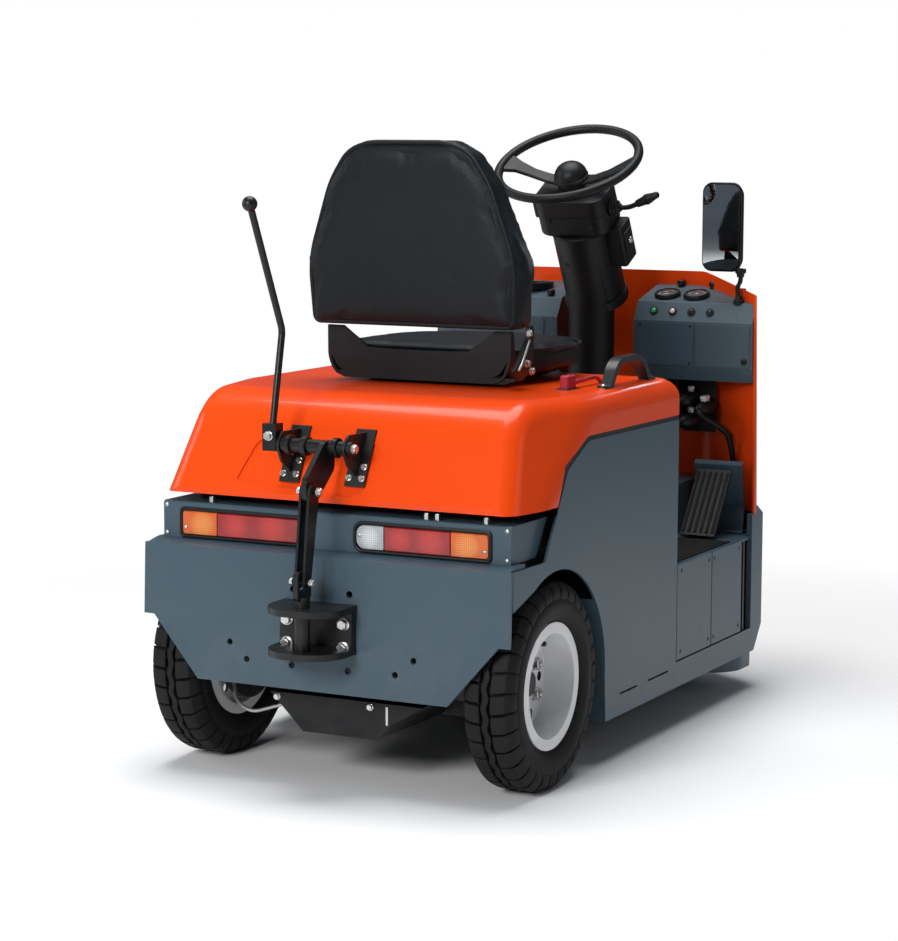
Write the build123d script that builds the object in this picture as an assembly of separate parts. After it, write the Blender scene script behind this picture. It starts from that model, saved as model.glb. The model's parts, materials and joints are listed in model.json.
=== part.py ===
from build123d import *
import math
import os

# Seated three-wheel baggage tug. Units are millimetres, +Z is up and the vehicle faces -Y.
# A "station" is the distance ahead of the rear plate's top edge. The right side is at -X.

# Overall
BODY_WIDTH = 766.0
NOSE_STATION = 1366.0
HITCH_PIN_REACH = 70.0
HITCH_NOSE = 44.0
REAR_Y = (NOSE_STATION - HITCH_PIN_REACH - HITCH_NOSE) / 2.0
HALF_WIDTH = BODY_WIDTH / 2.0

# Clearances and sheet
MOVING_GAP = 0.3
BEARING_GAP = 0.05
SHEET = 4.0
PLATE = 8.0

# Wheels, tyre size 15 x 4 1/2 - 8
TYRE_DIAMETER = 390.0
TYRE_WIDTH = 100.0
TYRE_SHOULDER = 24.0
RIM_SEAT_RADIUS = 101.5
RIM_FLANGE_RADIUS = 118.5
RIM_FLANGE_HALF = 38.0
RIM_SHEET = 4.0
TYRE_RADIUS = TYRE_DIAMETER / 2.0
REAR_WHEEL_X = HALF_WIDTH - 52.0
REAR_AXLE_STATION = 195.0
FRONT_AXLE_STATION = NOSE_STATION - TYRE_RADIUS - 56.0
STUB_RADIUS = 22.0
HUB_RADIUS = 40.0
NUT_CIRCLE_RADIUS = 57.0
NUT_COUNT = 6
NUT_ACROSS = 22.0
NUT_HEIGHT = 13.0
VENT_CIRCLE_RADIUS = 74.0
VENT_RADIUS = 8.5
RIM_DISC = 6.0
REAR_DISC_OFFSET = -22.0

# Deck height over the rear wheels, from which the bodywork is set out
DECK_Z = TYRE_DIAMETER + 44.0

# Rear plate
PLATE_HOLES = ((193.0, 261.0), (156.0, 232.0))
PLATE_HOLE_RADIUS = 6.0
PLATE_TOP_Z = DECK_Z
PLATE_SIDE_LOW_Z = DECK_Z - 135.0
PLATE_BOTTOM_Z = 185.0
PLATE_CHAMFER_X = HALF_WIDTH - 22.0
PLATE_BOTTOM_X = HALF_WIDTH - 121.0
PLATE_LEAN = 0.041
LEDGE_RISE = 7.0

# Tail section above the rear plate
TAIL_STATION = 37.0
TAIL_TOP_Z = DECK_Z + 76.0
TAIL_HALF_WIDTH = HALF_WIDTH - 18.0
TAIL_WALL = 30.0
LAMP_HEIGHT = 50.0
LAMP_DEPTH = 16.0
LAMP_RIM = 3.0
LAMP_INNER_X = 50.0
LAMP_OUTER_X = HALF_WIDTH - 59.0
LAMP_SPLIT_X = LAMP_OUTER_X - 79.0
LAMP_CLEAR_X = 110.0
LAMP_Z = DECK_Z + 37.0
LAMP_CORNER = 20.0
LENS_PROUD = 3.0
LENS_GAP = 0.6
LENS_SPANS = {
    "lens_red": ((LAMP_INNER_X, LAMP_SPLIT_X), (-LAMP_CLEAR_X, -LAMP_SPLIT_X)),
    "lens_amber": ((LAMP_SPLIT_X, LAMP_OUTER_X), (-LAMP_SPLIT_X, -LAMP_OUTER_X)),
    "lens_clear": ((-LAMP_INNER_X, -LAMP_CLEAR_X),)}

# Hood and side panels, seam points as (station, z)
SEAM_FOOT = (142.0, DECK_Z - 1.0)
SEAM_HEEL = (189.0, DECK_Z + 78.0)
PANEL_TOP = ((236.0, DECK_Z + 156.0), (328.0, DECK_Z + 201.0), (765.0, DECK_Z + 198.0))
HOOD_SEAM = ((228.0, DECK_Z + 164.0), (324.0, DECK_Z + 209.5))
HOOD_CREST_STATION = 130.0
HOOD_CREST_RADIUS = 112.0
HOOD_EDGE_RADIUS = 42.0
HOOD_CREASE_RADIUS = 160.0
CREASE_RUN = (0.0, -0.781, 0.625)
CREASE_TAPER = 0.3574
CREASE_POINT = (HALF_WIDTH - 16.0, 62.0, DECK_Z + 93.0)
RECESS = ((-213.0, 29.0, 6.0), (-184.0, 103.0, 18.0), (71.0, 107.0, 18.0), (83.0, 90.0, 10.0),
          (65.0, 34.0, 10.0), (41.0, 12.0, 14.0))
RECESS_DEPTH = 3.0
ARCH_REAR_Z = DECK_Z - 72.0
ARCH_GAP = 21.0
ARCH_RADIUS = TYRE_RADIUS + ARCH_GAP
ARCH_FRONT_STATION = REAR_AXLE_STATION + ARCH_RADIUS + 7.0
ARCH_STRAIGHT_Z = TYRE_RADIUS + 45.0
ARCH_WALL_DEPTH = 80.0
PANEL_SLOTS = ((484.0, 567.0), (622.0, 725.0))
HOOD_REAR_STATION = 40.0
HOOD_REAR_Z = DECK_Z + 93.0
HOOD_TOP_Z = DECK_Z + 284.0
HOOD_FRONT_STATION = 765.0
SEAM_Z = DECK_Z + 207.0
SEAM_GAP = 3.0
SKIRT_BOTTOM_Z = 85.0
SILL_TOP_Z = 137.0
FLOOR_Z = 337.0
FLOOR_SHEET = 6.0
SIDE_SHEET = 5.0
STEP_SPLIT_STATION = 955.0
STEP_END_STATION = 1128.0

# Front valance and cowl
VALANCE_REAR_STATION = 1187.0
VALANCE_CORNER_STATION = 1262.0
VALANCE_TOP_Z = 381.0
VALANCE_WALL = 12.0
VALANCE_FOOT = 43.0
VALANCE_CHAMFER_Z = 138.0
VALANCE_CAP = 38.0
VALANCE_CAP_Z = 402.0
GUARD_REAR_STATION = FRONT_AXLE_STATION - 30.0
GUARD_INSET = 8.0
GUARD_LOW_Z = 50.0
SWING_RADIUS = TYRE_RADIUS - 13.0
HEADLAMP_X = 140.0
HEADLAMP_Z = 600.0
HEADLAMP_RADIUS = 55.0
COWL_REAR_STATION = 1186.0
COWL_CORNER_STATION = 1222.0
COWL_NOSE_STATION = 1344.0
COWL_LEAN = 25.0
COWL_EDGE_LEAN = 13.0
COWL_BOTTOM_Z = 385.0
COWL_TOP_Z = 897.0
COWL_SIDE_TOP_Z = 853.0
NOSE_HALF_WIDTH = 215.0
COWL_SHEET = 5.0

# Front wheelhouse, steering head and fork
HOUSE_HALF_WIDTH = HALF_WIDTH - 161.0
HOUSE_REAR_STATION = FRONT_AXLE_STATION - TYRE_RADIUS - 30.0
HOUSE_FRONT_STATION = FRONT_AXLE_STATION + TYRE_RADIUS + 22.0
HOUSE_TOP_Z = TYRE_DIAMETER + 56.0
KINGPIN_RADIUS = 26.0
HEAD_RADIUS = 48.0
HEAD_HEIGHT = 50.0
FORK_CROWN_Z = TYRE_DIAMETER + 12.0
FORK_CROWN_HEIGHT = 24.0
FORK_LEG_X = 62.0
FORK_LEG_THICK = 14.0
FORK_AXLE_RADIUS = 20.0
CASE_RADIUS = 58.0
CASE_TOP_Z = TYRE_DIAMETER + 155.0
RAIL_LOW_Z = SKIRT_BOTTOM_Z
RAIL_TOP_Z = SILL_TOP_Z
RAIL_INNER_X = HALF_WIDTH - 167.0
RAIL_OUTER_X = HALF_WIDTH - 121.0
RAIL_END_STATION = 1270.0
RAIL_KICK = (240.0, 318.0)
RAIL_DEPTH = RAIL_TOP_Z - RAIL_LOW_Z
RAIL_KICK_Z = TYRE_RADIUS + 45.0 + RAIL_DEPTH
POST_STATION = 50.0
OUTRIGGER_STATIONS = (770.0, 1150.0)
CROSS_STATIONS = (330.0, 700.0)
BATTERY_HALF_WIDTH = HALF_WIDTH - 133.0
BATTERY_REAR_STATION = 325.0
BATTERY_TOP_Z = DECK_Z + 186.0
AXLE_TUBE_RADIUS = 45.0
DRUM_INNER_X = REAR_WHEEL_X - 66.0
DRUM_OUTER_X = REAR_WHEEL_X - 47.0
DRUM_RADIUS = 84.0
COVER_TOP_Z = 160.0
COVER_RIGHT_X = RAIL_INNER_X - 39.0
COVER_LEFT_X = RAIL_INNER_X - 69.0
COVER_ROWS = ((-COVER_RIGHT_X, COVER_TOP_Z), (-107.0, 118.0), (-84.0, 90.0), (76.0, 90.0),
              (COVER_LEFT_X, COVER_TOP_Z))
COVER_STATIONS = (60.0, 320.0)

# Steering column and wheel
COLUMN_STATION = 1188.0
COLUMN_TILT = 28.4
WHEEL_STATION = 1057.0
WHEEL_Z = 1134.0
WHEEL_RADIUS = 153.0
WHEEL_TUBE = 10.0
WHEEL_DISH = 36.0
WHEEL_HUB_RADIUS = 34.0
SHAFT_RADIUS = 14.0
SHROUD_START = 64.0
SHROUD_END = 150.0
SHROUD_WIDTH = 160.0
SHROUD_DEPTH = 110.0
COVER_END = 340.0
COVER_RADIUS = 66.0
COLUMN_RADIUS = 50.0
COLUMN_BEND_Z = 850.0
DASH_STATION = 1180.0
DASH_LOW_Z = 697.0
DASH_CREASE_Z = 795.0
DASH_BAND_Z = 836.0
DASH_FAR_Z = 874.0
DASH_BOTTOM_Z = 668.0
DASH_RIGHT_X = 103.0
DASH_LEFT_X = 80.0
DIALS = ((-158.0, 1240.0, 27.0, 9.0), (-226.0, 1240.0, 27.0, 9.0))
GRAB_X = HALF_WIDTH - 40.0
GRAB_STATIONS = (488.0, 694.0)
GRAB_TOP_Z = HOOD_TOP_Z + 54.0
GRAB_WIDTH = 22.0
GRAB_THICK = 12.0
GRAB_ROUND = 60.0
GRAB_FOOT = 26.0
MIRROR_STATION = 1190.0
MIRROR_X = (-HALF_WIDTH + 33.0, -HALF_WIDTH + 131.0)
MIRROR_Z = (903.0, 1096.0)
MIRROR_STALK_RADIUS = 5.0
PEDAL_X = (-HALF_WIDTH + 53.0, -HALF_WIDTH + 131.0)
PEDAL_ROWS = ((1098.0, FLOOR_Z + 8.0), (1104.0, FLOOR_Z + 4.0), (1202.0, FLOOR_Z + 135.0),
              (1196.0, FLOOR_Z + 140.0))
BRAKE_X = (-HALF_WIDTH + 83.0, -HALF_WIDTH + 98.0)
BRAKE_ROWS = ((1120.0, FLOOR_Z), (1150.0, FLOOR_Z), (1168.0, FLOOR_Z + 83.0), (1155.0, FLOOR_Z + 88.0))

# Seat
SEAT_BACK_STATION = 345.0
SEAT_BACK_LEAN = 19.0
SEAT_BACK_THICK = 84.0
SEAT_HALF_WIDTH = 225.0
SEAT_FRONT_STATION = 795.0
SEAT_WALL_STATION = 372.0
SEAT_WALL = 7.0
SEAT_BASE_Z = HOOD_TOP_Z + 7.0
SEAT_PAN_Z = HOOD_TOP_Z + 19.0
CUSHION_TOP_Z = HOOD_TOP_Z + 72.0
CUSHION_ROUND = SEAT_HALF_WIDTH * 0.8
CUSHION_REAR_HALF = SEAT_HALF_WIDTH - 35.0
SEAT_BACK_LOW_Z = HOOD_TOP_Z + 108.0
SEAT_BACK_TOP_Z = 1190.0
SHELL_HALF = SEAT_HALF_WIDTH - 26.0
WING_ROWS = ((0.76, 0.0), (0.92, 0.19), (0.985, 0.55), (1.0, 1.0))
WINDOW_ROWS = ((0.83, 1.0), (0.55, 0.6), (0.155, 0.56))
BACK_ROWS = ((0.987, 0.0, 0.033), (1.022, 0.354, 0.11), (0.8, 0.766, 0.11), (0.622, 0.931, 0.082),
             (0.422, 1.003, 0.055))

# Hitch and release lever
HITCH_TOP_Z = 352.0
HITCH_LOW_Z = 262.0
HITCH_PLATE = 12.0
HITCH_FLANGE_X = 59.0
HITCH_FLANGE_HALF = 16.0
HITCH_HALF = 76.0
HITCH_ROUND = 70.0
HITCH_BOLT_Z = (275.0, 319.0)
HITCH_SPARE_Z = (230.0, 370.0)
HITCH_PIN_RADIUS = 14.0
HITCH_BOLT_RADIUS = 6.5
HITCH_FLANGE_DEPTH = 18.0
PIN_LOW_Z = 258.0
PIN_EYE_Z = 398.0
PIN_NECK = 26.0
PIN_SLOT_HALF = 17.0
PIN_SLOT_RISE = 14.0
PIN_EYE_WALL = 7.0
LINK_BOLT_RADIUS = 5.0
LEFT_EAR_X = 100.0
RIGHT_EAR_X = 38.0
LEVER_STATION = 25.0
LEVER_Z = HOOD_REAR_Z + 105.0
LEVER_X = 117.0
TORSION_RADIUS = 13.0
ARM_REACH = 66.0
ARM_DROP = 73.0
LEVER_KINK = (36.0, 206.0)
LEVER_TIP = (-71.0, 432.0)


def station_y(station):
    """Turn a station into the Y of the model's frame."""
    return REAR_Y - station


def outline(points):
    """Make a face from rows of (first, second, corner radius)."""
    corners = [(row[0], row[1]) for row in points]
    radii = [row[2] for row in points]
    if max(radii) == 0:
        return make_face(Polyline(*corners, close=True))
    return make_face(FilletPolyline(*corners, radius=radii, close=True))


def side_form(points, x_low, x_high):
    """Extrude a side view outline, rows of (station, z, radius), across X."""
    plane = Plane(origin=(x_high, REAR_Y, 0), x_dir=(0, -1, 0), z_dir=(-1, 0, 0))
    return extrude(plane * outline(points), amount=x_high - x_low)


def plan_form(points, z_low, z_high):
    """Extrude a plan outline, rows of (x, station, radius), up Z."""
    plane = Plane(origin=(0, REAR_Y, z_high), x_dir=(1, 0, 0), z_dir=(0, 0, -1))
    return extrude(plane * outline(points), amount=z_high - z_low)


def rear_form(points, station_low, station_high):
    """Extrude a rear view outline, rows of (x, z, radius), forward."""
    plane = Plane(origin=(0, station_y(station_low), 0), x_dir=(1, 0, 0), z_dir=(0, -1, 0))
    return extrude(plane * outline(points), amount=station_high - station_low)


def block(x_span, station_span, z_span):
    """A box between low and high x, station and z."""
    size = (x_span[1] - x_span[0], station_span[1] - station_span[0], z_span[1] - z_span[0])
    centre = (sum(x_span) / 2, station_y(sum(station_span) / 2), sum(z_span) / 2)
    return Pos(*centre) * Box(*size)


def place(x, station, z):
    """A point of the frame from x, station and z."""
    return Vector(x, station_y(station), z)


def rod(start, end, radius):
    """A round bar between two (x, station, z) points."""
    first = place(*start)
    run = place(*end) - first
    return extrude(Plane(origin=first, z_dir=run.normalized()) * Circle(radius), amount=run.length)


def bent_rod(points, bend, radius):
    """A round bar along (x, station, z) points, each corner bent to one radius."""
    route = [place(*point) for point in points]
    path = Polyline(*route) if len(route) == 2 else FilletPolyline(*route, radius=bend)
    section = Plane(origin=path @ 0, z_dir=path % 0) * Circle(radius)
    return sweep(section, path=path)


def wheel_revolve(profile, x_centre, station, z):
    """Turn a wheel profile, rows of (x offset, radius), about its axle."""
    plane = Plane(origin=place(x_centre, station, z), x_dir=(1, 0, 0), z_dir=(0, -1, 0))
    face = plane * make_face(Polyline(*profile, close=True))
    return revolve(face, axis=Axis(place(x_centre, station, z), (1, 0, 0)))


def mirrored(shape):
    """The same shape on the other side of the vehicle."""
    return shape.mirror(Plane.YZ)


def plate_station(z):
    """Station of the rear plate's outer face, which leans out at the bottom."""
    return -PLATE_LEAN * (PLATE_TOP_Z - z)


# Rear end

def plate_slab(depth):
    """The rear plate's leaning slab, full width, with a chosen depth."""
    foot = plate_station(PLATE_BOTTOM_Z)
    return side_form([(0, PLATE_TOP_Z, 0), (depth, PLATE_TOP_Z, 0), (foot + depth, PLATE_BOTTOM_Z, 0),
                      (foot, PLATE_BOTTOM_Z, 0)], -HALF_WIDTH, HALF_WIDTH)


def rear_plate():
    """The thick plate across the back, with chamfered lower corners, its top ledge and bolt holes."""
    view = rear_form(
        [(-HALF_WIDTH, PLATE_TOP_Z, 0), (HALF_WIDTH, PLATE_TOP_Z, 0), (HALF_WIDTH, PLATE_SIDE_LOW_Z, 0),
         (PLATE_CHAMFER_X, PLATE_SIDE_LOW_Z, 0), (PLATE_BOTTOM_X, PLATE_BOTTOM_Z, 0),
         (-PLATE_BOTTOM_X, PLATE_BOTTOM_Z, 0), (-PLATE_CHAMFER_X, PLATE_SIDE_LOW_Z, 0),
         (-HALF_WIDTH, PLATE_SIDE_LOW_Z, 0)], -40, 40)
    plate = view & plate_slab(PLATE)
    for x, z in PLATE_HOLES:
        for side in (-1, 1):
            plate -= rod((side * x, -40, z), (side * x, 40, z), PLATE_HOLE_RADIUS)
    for x in (-HITCH_FLANGE_X, HITCH_FLANGE_X):
        for z in HITCH_BOLT_Z + HITCH_SPARE_Z:
            plate -= rod((x, -40, z), (x, 40, z), HITCH_BOLT_RADIUS)
    ledge_top = PLATE_TOP_Z + LEDGE_RISE
    ledge = side_form(
        [(0, PLATE_TOP_Z, 0), (TAIL_STATION, ledge_top, 0), (TAIL_STATION + TAIL_WALL, ledge_top, 0),
         (TAIL_STATION + TAIL_WALL, ledge_top - PLATE, 0), (TAIL_STATION, ledge_top - PLATE, 0),
         (PLATE, PLATE_TOP_Z - PLATE, 0), (0, PLATE_TOP_Z - PLATE, 0)],
        -HALF_WIDTH + SIDE_SHEET, HALF_WIDTH - SIDE_SHEET)
    return plate + ledge


def lamp_slot(x_low, x_high, margin, station_low, station_high):
    """A recess or lens of the tail lamps: a rounded bar outline seen from behind."""
    low = LAMP_Z - LAMP_HEIGHT / 2 + margin
    high = LAMP_Z + LAMP_HEIGHT / 2 - margin
    turn = LAMP_CORNER - margin
    return rear_form(
        [(x_low + margin, low, turn), (x_high - margin, low, turn),
         (x_high - margin, high, turn), (x_low + margin, high, turn)], station_low, station_high)


def tail_section():
    """The boxed section above the rear plate that holds the tail lamps."""
    low = PLATE_TOP_Z + LEDGE_RISE
    outer = side_form(
        [(TAIL_STATION, low, 0), (SEAM_FOOT[0] - SEAM_GAP, low, 0),
         (SEAM_HEEL[0] - SEAM_GAP, TAIL_TOP_Z, 0), (TAIL_STATION, TAIL_TOP_Z, 6)],
        -TAIL_HALF_WIDTH, TAIL_HALF_WIDTH)
    room = block((-TAIL_HALF_WIDTH + PLATE, TAIL_HALF_WIDTH - PLATE),
                 (TAIL_STATION + TAIL_WALL, SEAM_HEEL[0] + 1), (low - 1, TAIL_TOP_Z - PLATE))
    tail = outer - room
    for side in (-1, 1):
        ends = sorted((side * LAMP_INNER_X, side * LAMP_OUTER_X))
        tail -= lamp_slot(ends[0], ends[1], 0, TAIL_STATION - 5, TAIL_STATION + LAMP_DEPTH)
    return tail


def lens(x_from, x_to):
    """One coloured length of a tail lamp, cut from the full lens between two x values."""
    side = 1 if x_to > 0 else -1
    ends = sorted((side * LAMP_INNER_X, side * LAMP_OUTER_X))
    full = lamp_slot(ends[0], ends[1], LAMP_RIM, TAIL_STATION - LENS_PROUD, TAIL_STATION + LAMP_DEPTH)
    cut = sorted((x_from, x_to))
    return full & block((cut[0] + LENS_GAP, cut[1] - LENS_GAP), (-50, 100), (400, 600))


def tail_lamps():
    """The lenses by colour, as rows of (inner x, outer x)."""
    nodes = {}
    for name, spans in LENS_SPANS.items():
        nodes[name] = Compound(children=[lens(*span) for span in spans])
    return nodes


# Hood and sides

def crease_form(inset):
    """The hood's width seen along its creases: upright sides below, tapered corners above."""
    side = HALF_WIDTH - inset
    corner = CREASE_POINT[0] - inset * math.hypot(1, CREASE_TAPER)
    crease = (corner - side) / CREASE_TAPER
    top = corner - CREASE_TAPER * 600
    turn = HOOD_CREASE_RADIUS - inset
    rows = [(-side, -900, 0), (side, -900, 0), (side, crease, turn), (top, 600, 0), (-top, 600, 0),
            (-side, crease, turn)]
    plane = Plane(origin=place(0, *CREASE_POINT[1:]), x_dir=(1, 0, 0), z_dir=CREASE_RUN)
    return extrude(plane * outline(rows), amount=1200, both=True)


def hood_rim(form, inset):
    """The hood's upper edges: round the top, down both rear corners and along the front."""
    rim = []
    for edge in form.edges():
        centre = edge.center()
        station = REAR_Y - centre.Y
        if station > HOOD_FRONT_STATION - inset - 1:
            chosen = centre.Z > HOOD_TOP_Z - inset - 2
        else:
            high = centre.Z > HOOD_TOP_Z - inset - 40
            low = station < SEAM_HEEL[0] - 4 and centre.Z > HOOD_REAR_Z + 12
            chosen = abs(centre.X) > HALF_WIDTH * 0.73 and (high or low)
        if chosen:
            rim.append(edge)
    return rim


def hood_form(inset):
    """The hood's outer form, or with an inset the hollow inside it."""
    lower = 0 if inset == 0 else -60
    front, top = HOOD_FRONT_STATION - inset, HOOD_TOP_Z - inset
    profile = side_form(
        [(HOOD_REAR_STATION + inset, HOOD_REAR_Z + lower, 0), (SEAM_HEEL[0] + 4, HOOD_REAR_Z + lower, 0),
         (HOOD_SEAM[0][0], HOOD_SEAM[0][1] + lower, 0), (HOOD_SEAM[1][0], HOOD_SEAM[1][1] + lower, 40),
         (front, SEAM_Z + lower, 0), (front, top, 0), (HOOD_CREST_STATION + inset * 0.9, top, HOOD_CREST_RADIUS - inset),
         (HOOD_REAR_STATION + inset, HOOD_REAR_Z + 10, 0)], -HALF_WIDTH, HALF_WIDTH)
    form = profile & crease_form(inset)
    return fillet(hood_rim(form, inset), HOOD_EDGE_RADIUS - inset)


def slope_layer(near, far):
    """A slab parallel to the hood's rear slope, between two depths under it."""
    rise = Vector(HOOD_CREST_STATION - HOOD_REAR_STATION, HOOD_TOP_Z - HOOD_REAR_Z - 10).normalized()
    ends = ((HOOD_REAR_STATION, HOOD_REAR_Z + 10), (HOOD_CREST_STATION, HOOD_TOP_Z))
    rows = [(end[0] + rise.Y * depth, end[1] - rise.X * depth, 0)
            for end, depth in ((ends[0], near), (ends[1], near), (ends[1], far), (ends[0], far))]
    return side_form(rows, -HALF_WIDTH, HALF_WIDTH)


def recess_form(margin):
    """The outline of the shallow recess in the hood's back, run forward."""
    centre = (-65.0, 70.0)
    rows = []
    for u, rise, turn in RECESS:
        wide = u + math.copysign(margin, u - centre[0])
        high = rise + math.copysign(margin, rise - centre[1])
        rows.append((-wide, HOOD_REAR_Z + high, turn))
    return rear_form(rows, -10, 200)


def hood():
    """The orange hood as a hollow moulding over the battery, with its recess backed up inside."""
    shell = hood_form(0) - hood_form(SHEET)
    shell += recess_form(6) & slope_layer(SHEET - 1, SHEET + RECESS_DEPTH) & hood_form(1)
    return shell - (recess_form(0) & slope_layer(-6, RECESS_DEPTH))


def panel_outline():
    """The side panel's outline before the wheel arch is cut, rows of (station, z, radius)."""
    low = PLATE_TOP_Z - 1
    return [(PLATE + 1, low, 0), SEAM_FOOT + (0,), SEAM_HEEL + (0,), PANEL_TOP[0] + (30,),
            PANEL_TOP[1] + (50,),
            (HOOD_FRONT_STATION, PANEL_TOP[2][1], 4), (HOOD_FRONT_STATION, SILL_TOP_Z, 0),
            (VALANCE_REAR_STATION, SILL_TOP_Z, 0), (VALANCE_REAR_STATION, SKIRT_BOTTOM_Z, 0),
            (PLATE + 1, SKIRT_BOTTOM_Z, 0)]


def side_panel():
    """The left side panel with its sill, wheel arch and lower slots."""
    panel = side_form(panel_outline(), HALF_WIDTH - SIDE_SHEET, HALF_WIDTH)
    axle = (REAR_AXLE_STATION, TYRE_RADIUS)
    panel -= rod((HALF_WIDTH - 50,) + axle, (HALF_WIDTH + 50,) + axle, ARCH_RADIUS)
    span = (HALF_WIDTH - 50, HALF_WIDTH + 50)
    lead = REAR_AXLE_STATION - 65
    straight = (ARCH_FRONT_STATION - 12, ARCH_STRAIGHT_Z, 0)
    panel -= side_form([(-20, ARCH_REAR_Z - 10, 0), (lead, DECK_Z - 36, 0), axle + (0,), (-20, 60, 0)],
                       *span)
    panel -= side_form([(-20, 60, 0), axle + (0,), straight, (ARCH_FRONT_STATION, 60, 0)], *span)
    for low, high in PANEL_SLOTS:
        panel -= block(span, (low, high), (SILL_TOP_Z - 12, SILL_TOP_Z - 8))
    return panel + arch_wall()


def arch_wall():
    """The narrow wall ahead of the left rear wheel, from the side panel inward."""
    x_span = (HALF_WIDTH - ARCH_WALL_DEPTH, HALF_WIDTH - SIDE_SHEET + 1)
    axle = (REAR_AXLE_STATION, TYRE_RADIUS)
    curve = rod((x_span[0],) + axle, (x_span[1],) + axle, ARCH_RADIUS + SHEET)
    curve -= rod((x_span[0] - 1,) + axle, (x_span[1] + 1,) + axle, ARCH_RADIUS)
    curve &= block(x_span, (REAR_AXLE_STATION, REAR_AXLE_STATION + 400),
                   (ARCH_STRAIGHT_Z, ARCH_STRAIGHT_Z + 90))
    top, foot = ARCH_FRONT_STATION - 12, ARCH_FRONT_STATION - 1.5
    flat = side_form([(top, ARCH_STRAIGHT_Z + 0.5, 0), (top + SHEET, ARCH_STRAIGHT_Z + 0.5, 0),
                      (foot + SHEET, SKIRT_BOTTOM_Z, 0), (foot, SKIRT_BOTTOM_Z, 0)], *x_span)
    return curve + flat


def seam_trim():
    """The dark strip between the hood and the side panel."""
    gap = 0.5
    upper = [(HOOD_FRONT_STATION, SEAM_Z - gap, 0), (HOOD_SEAM[1][0], HOOD_SEAM[1][1] - gap, 40),
             (HOOD_SEAM[0][0] + gap, HOOD_SEAM[0][1] - gap, 0), (SEAM_HEEL[0] + 6, HOOD_REAR_Z - gap, 0)]
    lower = [SEAM_HEEL + (0,), PANEL_TOP[0] + (30,), PANEL_TOP[1] + (50,),
             (HOOD_FRONT_STATION, PANEL_TOP[2][1] + gap, 0)]
    return side_form(upper + lower, HALF_WIDTH - SIDE_SHEET, HALF_WIDTH - 1)


def step_panels():
    """Two flat covers under the floor's edge on each side."""
    covers = []
    for low, high in ((HOOD_FRONT_STATION + SEAM_GAP, STEP_SPLIT_STATION),
                      (STEP_SPLIT_STATION + SEAM_GAP, STEP_END_STATION)):
        cover = block((HALF_WIDTH - SIDE_SHEET, HALF_WIDTH), (low, high), (SILL_TOP_Z + SEAM_GAP, FLOOR_Z))
        covers += [cover, mirrored(cover)]
    return Compound(children=covers)


def floor_plate():
    """The flat floor on both sides of the front wheelhouse."""
    low = FLOOR_Z - FLOOR_SHEET
    inside = [valance_plan(VALANCE_WALL, 0, VALANCE_REAR_STATION, z) for z in (low, FLOOR_Z)]
    half = HALF_WIDTH - SIDE_SHEET
    floor = loft(inside, ruled=True) + block((-half, half), (HOOD_FRONT_STATION, VALANCE_REAR_STATION),
                                             (low, FLOOR_Z))
    return floor - house_form(0, low - 10, FLOOR_Z + 10)


def bulkhead():
    """The upright wall between the footwell and the battery."""
    return block((-HALF_WIDTH + SIDE_SHEET, HALF_WIDTH - SIDE_SHEET),
                 (HOOD_FRONT_STATION - SHEET - FLOOR_SHEET, HOOD_FRONT_STATION - SHEET),
                 (RAIL_TOP_Z, PANEL_TOP[2][1]))


# Front end

def cowl_plan(inset, shift, rear_station, z):
    """A plan outline of the nose at one height, moved back by a shift, as a face."""
    side = HALF_WIDTH - inset
    nose = NOSE_HALF_WIDTH - inset * 0.35
    rows = [(-side, rear_station, 0), (-side, COWL_CORNER_STATION - shift - inset * 0.3, 25),
            (-nose, COWL_NOSE_STATION - shift - inset, 90), (nose, COWL_NOSE_STATION - shift - inset, 90),
            (side, COWL_CORNER_STATION - shift - inset * 0.3, 25), (side, rear_station, 0)]
    return Plane(origin=(0, REAR_Y, z), x_dir=(1, 0, 0), z_dir=(0, 0, -1)) * outline(rows)


def cowl_form(inset, shift, rear_station, z_low, z_high):
    """The nose's solid form between two heights, leaning back as it rises."""
    rate = COWL_LEAN / (COWL_TOP_Z - COWL_BOTTOM_Z)
    low = cowl_plan(inset, shift + rate * (z_low - COWL_BOTTOM_Z), rear_station, z_low)
    high = cowl_plan(inset, shift + rate * (z_high - COWL_BOTTOM_Z), rear_station, z_high)
    return loft([low, high], ruled=True)


def front_cowl():
    """The sheet cowl round the nose, open at the back and the top."""
    top = COWL_TOP_Z + 10
    back = COWL_REAR_STATION - 100
    wall = cowl_form(0, 0, back, COWL_BOTTOM_Z, top)
    wall -= cowl_form(COWL_SHEET, 0, back - 50, COWL_BOTTOM_Z - 5, top + 5)
    wall &= side_form([(COWL_REAR_STATION + COWL_EDGE_LEAN, COWL_BOTTOM_Z - 10, 0),
                       (COWL_REAR_STATION, top + 10, 0),
                       (NOSE_STATION + 50, top + 10, 0), (NOSE_STATION + 50, COWL_BOTTOM_Z - 10, 0)],
                      -HALF_WIDTH - 5, HALF_WIDTH + 5)
    keep = rear_form(
        [(-HALF_WIDTH - 5, COWL_BOTTOM_Z, 0), (-HALF_WIDTH - 5, COWL_SIDE_TOP_Z, 0),
         (-NOSE_HALF_WIDTH, COWL_TOP_Z, 60),
         (NOSE_HALF_WIDTH, COWL_TOP_Z, 60), (HALF_WIDTH + 5, COWL_SIDE_TOP_Z, 0),
         (HALF_WIDTH + 5, COWL_BOTTOM_Z, 0)],
        COWL_REAR_STATION - 100, NOSE_STATION + 50)
    wall &= keep
    for x in (-HEADLAMP_X, HEADLAMP_X):
        wall -= rod((x, COWL_NOSE_STATION - 80, HEADLAMP_Z), (x, NOSE_STATION + 50, HEADLAMP_Z),
                    HEADLAMP_RADIUS)
    return wall


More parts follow.
